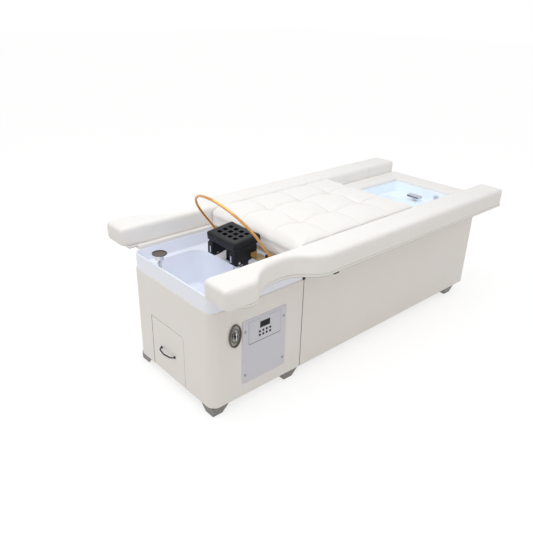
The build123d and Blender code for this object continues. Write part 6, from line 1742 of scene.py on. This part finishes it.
@dataclass
class NeckRest:
    """The perforated saddle of the neck rest, the plate that closes it below, and its two tapered cheeks.

    Places are measured from the head end, the middle and the top of the saddle.
    """

    tilt: float = math.radians(6.3)
    length: float = 165 * MM
    half_width: float = 114 * MM
    thickness: float = 46 * MM
    low_round: Point = (10 * MM, 14 * MM, 5 * MM)
    high_round: Point = (10 * MM, 14 * MM, 11 * MM)
    cuts: tuple[int, int, int] = (16, 22, 6)
    skin: float = 9 * MM
    dip: float = 5 * MM
    hole: tuple[float, float] = (23 * MM, 27 * MM)
    hole_round: float = 6 * MM
    hole_facets: int = 4
    pitch: tuple[float, float] = (35 * MM, 41 * MM)
    rows: int = 3
    columns: int = 4
    base_levels: tuple[float, float] = (5 * MM, 8 * MM)
    base_lap: float = 1 * MM
    base_cuts: tuple[int, int, int] = (6, 8, 1)
    base_frame: float = 1.5 * MM
    base_pocket: float = 1 * MM
    smooth_angle: float = 40.0
    cheek_inner: float = 68 * MM
    cheek_rise: float = 24 * MM
    cheek_flat: float = 34 * MM
    cheek_cuts: tuple[int, int, int] = (14, 5, 11)
    cheek_edge: float = 1.6 * MM
    nose_rise: float = 10 * MM
    nose_length: float = 12 * MM
    groove: float = 6 * MM
    groove_share: tuple[float, float] = (0.86, 0.94)
    pocket_ends: tuple[float, float] = (46 * MM, 22 * MM)
    pocket_levels: tuple[float, float] = (30 * MM, 66 * MM)
    pocket_frame: float = 2 * MM
    pocket_depth: float = 3 * MM

    def build(self) -> None:
        """Mould the saddle and the cheeks and dress them."""
        self.mould_saddle()
        for side in (-1, 1):
            self.mould_cheek(side)

    def mould_saddle(self) -> None:
        """Model the saddle level at the origin, hollow it, punch its holes, then tilt it into place."""
        length, half, thickness, skin = self.length, self.half_width, self.thickness, self.skin
        low, high = (0.0, -half, -thickness), (length, half, 0.0)
        saddle = gridded_box("perforated_neck_saddle", low, high, self.cuts)
        points = rounded(points_of(saddle), low, high, self.low_round, self.high_round)
        across = points[:, 1] / half
        points[:, 2] -= self.dip * (1 - across ** 2) * (points[:, 2] + thickness) / thickness
        move_points(saddle, points)
        add_modifier(saddle, "SUBSURF", levels=1, render_levels=1)
        self.cut(saddle, gridded_box("saddle_core", (skin, skin - half, -thickness - skin),
                                     (length - skin, half - skin, -skin - self.dip), (1, 1, 1)))
        first = [(length - self.pitch[0] * (self.rows - 1)) / 2, -self.pitch[1] * (self.columns - 1) / 2]
        punches = [self.punch(first[0] + self.pitch[0] * row, first[1] + self.pitch[1] * column)
                   for row in range(self.rows) for column in range(self.columns)]
        select_only(*punches)
        bpy.ops.object.join()
        self.cut(saddle, bpy.context.object)
        inset = skin - self.base_lap
        base = gridded_box("neck_saddle_base", (inset, inset - half, self.base_levels[0] - thickness),
                           (length - inset, half - inset, self.base_levels[1] - thickness), self.base_cuts)
        with editing(base) as mesh:
            pick(base, mesh.faces, lambda face: abs(face.normal.z) > FACING)
            bpy.ops.mesh.inset(thickness=self.base_frame, use_individual=True)
            bpy.ops.transform.translate(value=(0, 0, -self.base_pocket))
        low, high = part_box("neck_pillow")
        place = Matrix.Translation((low.x, 0, high.z - length * math.sin(self.tilt)))
        for piece in (saddle, base):
            piece.data.transform(place @ Matrix.Rotation(-self.tilt, 4, "Y"))
            smooth(piece, self.smooth_angle)
            dress(piece, BLACK_ABS, Body.NECK)
            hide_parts("neck_pillow")

    def punch(self, x: float, y: float) -> bpy.types.Object:
        """Make the tool for one rounded square hole.

        Args:
            x: Its centre along the saddle.
            y: Its centre across the saddle.

        Returns:
            The tool.
        """
        half = (self.hole[0] / 2, self.hole[1] / 2)
        tool = gridded_box("hole_punch", (x - half[0], y - half[1], -self.thickness),
                           (x + half[0], y + half[1], self.skin), (1, 1, 1))
        with editing(tool) as mesh:
            pick(tool, mesh.edges, lambda edge: all(
                abs(abs(vertex.co.x - x) - half[0]) < HAIR and abs(abs(vertex.co.y - y) - half[1]) < HAIR
                for vertex in edge.verts))
            bpy.ops.mesh.bevel(offset=self.hole_round, segments=self.hole_facets, affect="EDGES")
        return tool

    def cut(self, piece: bpy.types.Object, tool: bpy.types.Object) -> None:
        """Take a tool's shape out of a piece and throw the tool away."""
        add_modifier(piece, "BOOLEAN", object=tool, operation="DIFFERENCE", solver="EXACT")
        bpy.data.objects.remove(tool)

    def mould_cheek(self, side: int) -> None:
        """Model one cheek, whose lower edge rises towards the foot end.

        Args:
            side: 1 for the left cheek, -1 for the right one.
        """
        low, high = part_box("neck_cheeks")
        inner, outer = side * self.cheek_inner, side * high.y
        cheek = gridded_box(f"neck_cheek_{side_name(side)}", (low.x, min(inner, outer), low.z),
                            (high.x, max(inner, outer), high.z), self.cheek_cuts)
        points = points_of(cheek)
        from_head = points[:, 0] - low.x
        length, height = high.x - low.x, high.z - low.z
        rise = self.cheek_rise * np.clip((from_head - self.cheek_flat) / (length - self.cheek_flat), 0, 1)
        rise += self.nose_rise * np.clip(1 - from_head / self.nose_length, 0, 1)
        top = high.z - (length - from_head) * math.tan(self.tilt)
        share = (points[:, 2] - low.z) / height
        points[:, 2] = low.z + rise + share * (top - low.z - rise)
        near_top = np.interp(share, self.groove_share, (0, 1))
        points[:, 1] -= side * self.groove * near_top * (np.abs(points[:, 1] - outer) < HAIR)
        points[:, 0] += self.groove * near_top * (from_head < HAIR)
        move_points(cheek, points)

        def in_pocket(face: bmesh.types.BMFace) -> bool:
            """Say whether a face lies in the shallow pocket of the outer side.

            Args:
                face: The face.

            Returns:
                True where it does.
            """
            centre = face.calc_center_median()
            return (face.normal.y * side > FACING
                    and low.x + self.pocket_ends[0] < centre.x < high.x - self.pocket_ends[1]
                    and low.z + self.pocket_levels[0] < centre.z < low.z + self.pocket_levels[1])

        with editing(cheek) as mesh:
            pick(cheek, mesh.faces, in_pocket)
            bpy.ops.mesh.inset(thickness=self.pocket_frame)
            bpy.ops.transform.translate(value=(0, -side * self.pocket_depth, 0))
        ease_edges(cheek, self.cheek_edge)
        dress(cheek, BLACK_ABS, Body.NECK)
        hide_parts("neck_cheeks")


@dataclass
class Feet:
    """The six cast corner feet, each an angle whose two arms taper to thin tips."""

    from_head: tuple[float, ...] = (0.0, 449 * MM, 1927 * MM)
    arm: float = 92 * MM
    flat: float = 56 * MM
    tip: float = 9 * MM
    thickness: float = 14 * MM
    edge: float = 2.2 * MM

    def build(self) -> None:
        """Model the feet and dress them."""
        low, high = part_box("feet")
        for number, offset in enumerate(self.from_head):
            for side, y in ((-1, low.y), (1, high.y)):
                self.cast(f"corner_foot_{number + 1}_{side_name(side)}", low.x + offset, y, side)

    def cast(self, name: str, x: float, y: float, side: int) -> None:
        """Model one foot as two tapered arms that meet at the outer corner.

        Args:
            name: The piece's name.
            x: The corner's place along the bed.
            y: The corner's place across the bed.
            side: 1 for the left side, -1 for the right one.
        """
        low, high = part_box("feet")
        height = high.z - low.z
        starts = (x, y)
        arms = []
        for axis in (0, 1):
            reach = [self.thickness, -side * self.thickness]
            reach[axis] *= self.arm / self.thickness
            ends = (x + reach[0], y + reach[1])
            arm = gridded_box(name, (min(x, ends[0]), min(y, ends[1]), low.z),
                              (max(x, ends[0]), max(y, ends[1]), high.z), (1, 1, 1))
            points = points_of(arm)
            along = np.abs(points[:, axis] - starts[axis])
            moved = np.interp(along, (0, self.arm / 2, self.arm), (0, self.flat, self.arm))
            points[:, axis] = starts[axis] + math.copysign(1, reach[axis]) * moved
            rise = np.clip((moved - self.flat) / (self.arm - self.flat), 0, 1) * (height - self.tip)
            share = (points[:, 2] - low.z) / height
            points[:, 2] = low.z + rise + share * (height - rise)
            move_points(arm, points)
            arms.append(arm)
        foot, other = arms
        add_modifier(foot, "BOOLEAN", object=other, operation="UNION", solver="EXACT")
        bpy.data.objects.remove(other)
        foot.name = name
        ease_edges(foot, self.edge)
        dress(foot, NICKEL_CASTING, Body.BED)
        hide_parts("feet")


@dataclass
class WaterArch:
    """The silicone jet nipples on the inner side of the water arch.

    All a nipple's other measures are shares of its radius at the tube.
    """

    leg: float = 151 * MM
    half_span: float = 208 * MM
    tube: float = 6.5 * MM
    tilt: float = math.radians(36.7)
    jets: int = 9
    nipple: float = 2.6 * MM
    sink: float = 0.3
    tip: float = 0.55
    height: float = 1.4
    lip: float = 0.25
    bore: float = 0.5
    edge: float = 0.2 * MM
    facets: int = 20

    def build(self) -> None:
        """Model the nipples and dress them."""
        pivot = next(joint for joint in frame["joints"] if joint["name"] == "arch_swing")["pos_m"]
        along = Vector((-math.sin(self.tilt), 0, math.cos(self.tilt)))
        centre = Vector(pivot) + along * self.leg
        for number in range(self.jets):
            angle = math.pi * (number + 1) / (self.jets + 1)
            out = Vector((0, 1, 0)) * math.cos(angle) + along * math.sin(angle)
            place = centre + out * (self.half_span - self.tube - self.nipple * self.sink)
            piece = add_shape(f"arch_jet_nipple_{number + 1}", bpy.ops.mesh.primitive_cone_add,
                              vertices=self.facets, radius1=self.nipple, radius2=self.nipple * self.tip,
                              depth=self.nipple * self.height, location=place,
                              rotation=(-out).to_track_quat("Z", "X").to_euler())
            with editing(piece) as mesh:
                pick(piece, mesh.faces, lambda face: face.normal.dot(-out) > FACING)
                bpy.ops.mesh.inset(thickness=self.nipple * self.lip)
                bpy.ops.transform.translate(value=out * self.nipple * self.bore)
            ease_edges(piece, self.edge, 2)
            dress(piece, JET_SILICONE, Body.ARCH)


@dataclass
class Studio:
    """The pale floor, the soft light and the photograph's camera. Angles are in radians."""

    eye: Point = (-2.2247, -1.9901, 1.7520)
    yaw: float = 0.8368
    pitch: float = 0.4420
    roll: float = 0.02465
    lens_mm: float = 37.8
    sensor_mm: float = 36.0
    nearest: float = 10 * MM
    floor_size: float = 60.0
    floor_lit: str = "#E8E3DD"
    floor_shown: str = "#A6A6A6"
    floor_glow: float = 0.72
    sky_colour: Colour = (1.0, 0.995, 0.99, 1.0)
    sky_strength: float = 0.71
    top_watts: float = 29.5
    top_place: Point = (-0.95, -0.1, 3.1)
    top_target: Point = (-0.2, 0, 0.7)
    top_size: tuple[float, float] = (2.6, 2.0)

    def build(self) -> None:
        """Set up everything that isn't part of the object."""
        self.add_camera()
        self.add_floor()
        self.add_world()
        self.add_lamp()
        bpy.context.scene.view_settings.view_transform = "Standard"

    def add_camera(self) -> None:
        """Place the camera where the photograph was taken from."""
        level = math.cos(self.pitch)
        forward = Vector((math.cos(self.yaw) * level, math.sin(self.yaw) * level, -math.sin(self.pitch)))
        right = Vector((math.sin(self.yaw), -math.cos(self.yaw), 0))
        up = right.cross(forward)
        turned_right = right * math.cos(self.roll) + up * math.sin(self.roll)
        turned_up = up * math.cos(self.roll) - right * math.sin(self.roll)
        data = bpy.data.cameras.new("photo_camera")
        data.lens = self.lens_mm
        data.sensor_width = self.sensor_mm
        data.clip_start = self.nearest
        camera = bpy.data.objects.new("photo_camera", data)
        bpy.context.scene.collection.objects.link(camera)
        basis = Matrix((turned_right, turned_up, -forward)).transposed().to_4x4()
        camera.matrix_world = Matrix.Translation(self.eye) @ basis
        bpy.context.scene.camera = camera

    def seen(self, tree: bpy.types.NodeTree) -> bpy.types.NodeSocket:
        """Tell the rays that show a surface from those that only carry its light.

        Args:
            tree: The node tree to add to.

        Returns:
            1 for rays from the camera, mirrors and glass, and 0 for the rest.
        """
        path = add_node(tree, "ShaderNodeLightPath").outputs
        either = add_node(tree, "ShaderNodeMath", {0: path["Is Camera Ray"], 1: path["Is Glossy Ray"]},
                          operation="MAXIMUM").outputs[0]
        return add_node(tree, "ShaderNodeMath", {0: either, 1: path["Is Transmission Ray"]},
                        operation="MAXIMUM").outputs[0]

    def add_floor(self) -> None:
        """Lay a pale floor that looks white but keeps the object's shadow."""
        floor = add_shape("studio_floor", bpy.ops.mesh.primitive_plane_add, size=self.floor_size,
                          location=(0, 0, 0))
        material = bpy.data.materials.new("pale_floor")
        material.use_nodes = True
        tree = material.node_tree
        tree.nodes.clear()
        lit = add_node(tree, "ShaderNodeBsdfDiffuse", {"Color": linear(self.floor_lit)}).outputs[0]
        shaded = add_node(tree, "ShaderNodeBsdfDiffuse", {"Color": linear(self.floor_shown)}).outputs[0]
        glow = add_node(tree, "ShaderNodeEmission", {"Color": WHITE, "Strength": self.floor_glow}).outputs[0]
        white = add_node(tree, "ShaderNodeAddShader", {0: shaded, 1: glow}).outputs[0]
        mix = add_node(tree, "ShaderNodeMixShader", {0: self.seen(tree), 1: lit, 2: white})
        add_node(tree, "ShaderNodeOutputMaterial", {"Surface": mix.outputs[0]})
        floor.data.materials.append(material)

    def add_world(self) -> None:
        """Light the room evenly, and show it white."""
        world = bpy.data.worlds.new("studio_world")
        bpy.context.scene.world = world
        world.use_nodes = True
        tree = world.node_tree
        tree.nodes.clear()
        light = add_node(tree, "ShaderNodeBackground", {"Color": self.sky_colour,
                                                        "Strength": self.sky_strength}).outputs[0]
        white = add_node(tree, "ShaderNodeBackground", {"Color": WHITE, "Strength": 1.0}).outputs[0]
        mix = add_node(tree, "ShaderNodeMixShader", {0: self.seen(tree), 1: light, 2: white})
        add_node(tree, "ShaderNodeOutputWorld", {"Surface": mix.outputs[0]})

    def add_lamp(self) -> None:
        """Hang one broad soft lamp above the head end."""
        data = bpy.data.lights.new("top_lamp", "AREA")
        data.shape = "RECTANGLE"
        data.size, data.size_y = self.top_size
        data.energy = self.top_watts
        lamp = bpy.data.objects.new("top_lamp", data)
        bpy.context.scene.collection.objects.link(lamp)
        towards = Vector(self.top_target) - Vector(self.top_place)
        turn = towards.to_track_quat("-Z", "Y").to_matrix().to_4x4()
        lamp.matrix_world = Matrix.Translation(self.top_place) @ turn


def dress_frame() -> None:
    """Give every construction node that stays visible its finish."""
    for finish, names in NODE_FINISHES.items():
        for name in names:
            for place in frame["nodes"][name].material_slots:
                place.material = finish.material()
            LOG.info("dressed %s in %s", name, finish.name)


def main() -> None:
    """Build the scene, one sub-assembly after another."""
    logging.basicConfig(level=logging.INFO, format="%(message)s")
    Studio().build()
    dress_frame()
    for maker in (Mattress(), Armrest("armrest_left", 1), Armrest("armrest_right", -1, seam_depth=0),
                  TrayBorder(), HeadCabinet(), BedBody(), Feet(), Drawer(), ControlPanel(), MixerTap(),
                  NeckRest(), WaterArch()):
        maker.build()
        LOG.info("built %s", type(maker).__name__)


if __name__ == "__main__":
    main()
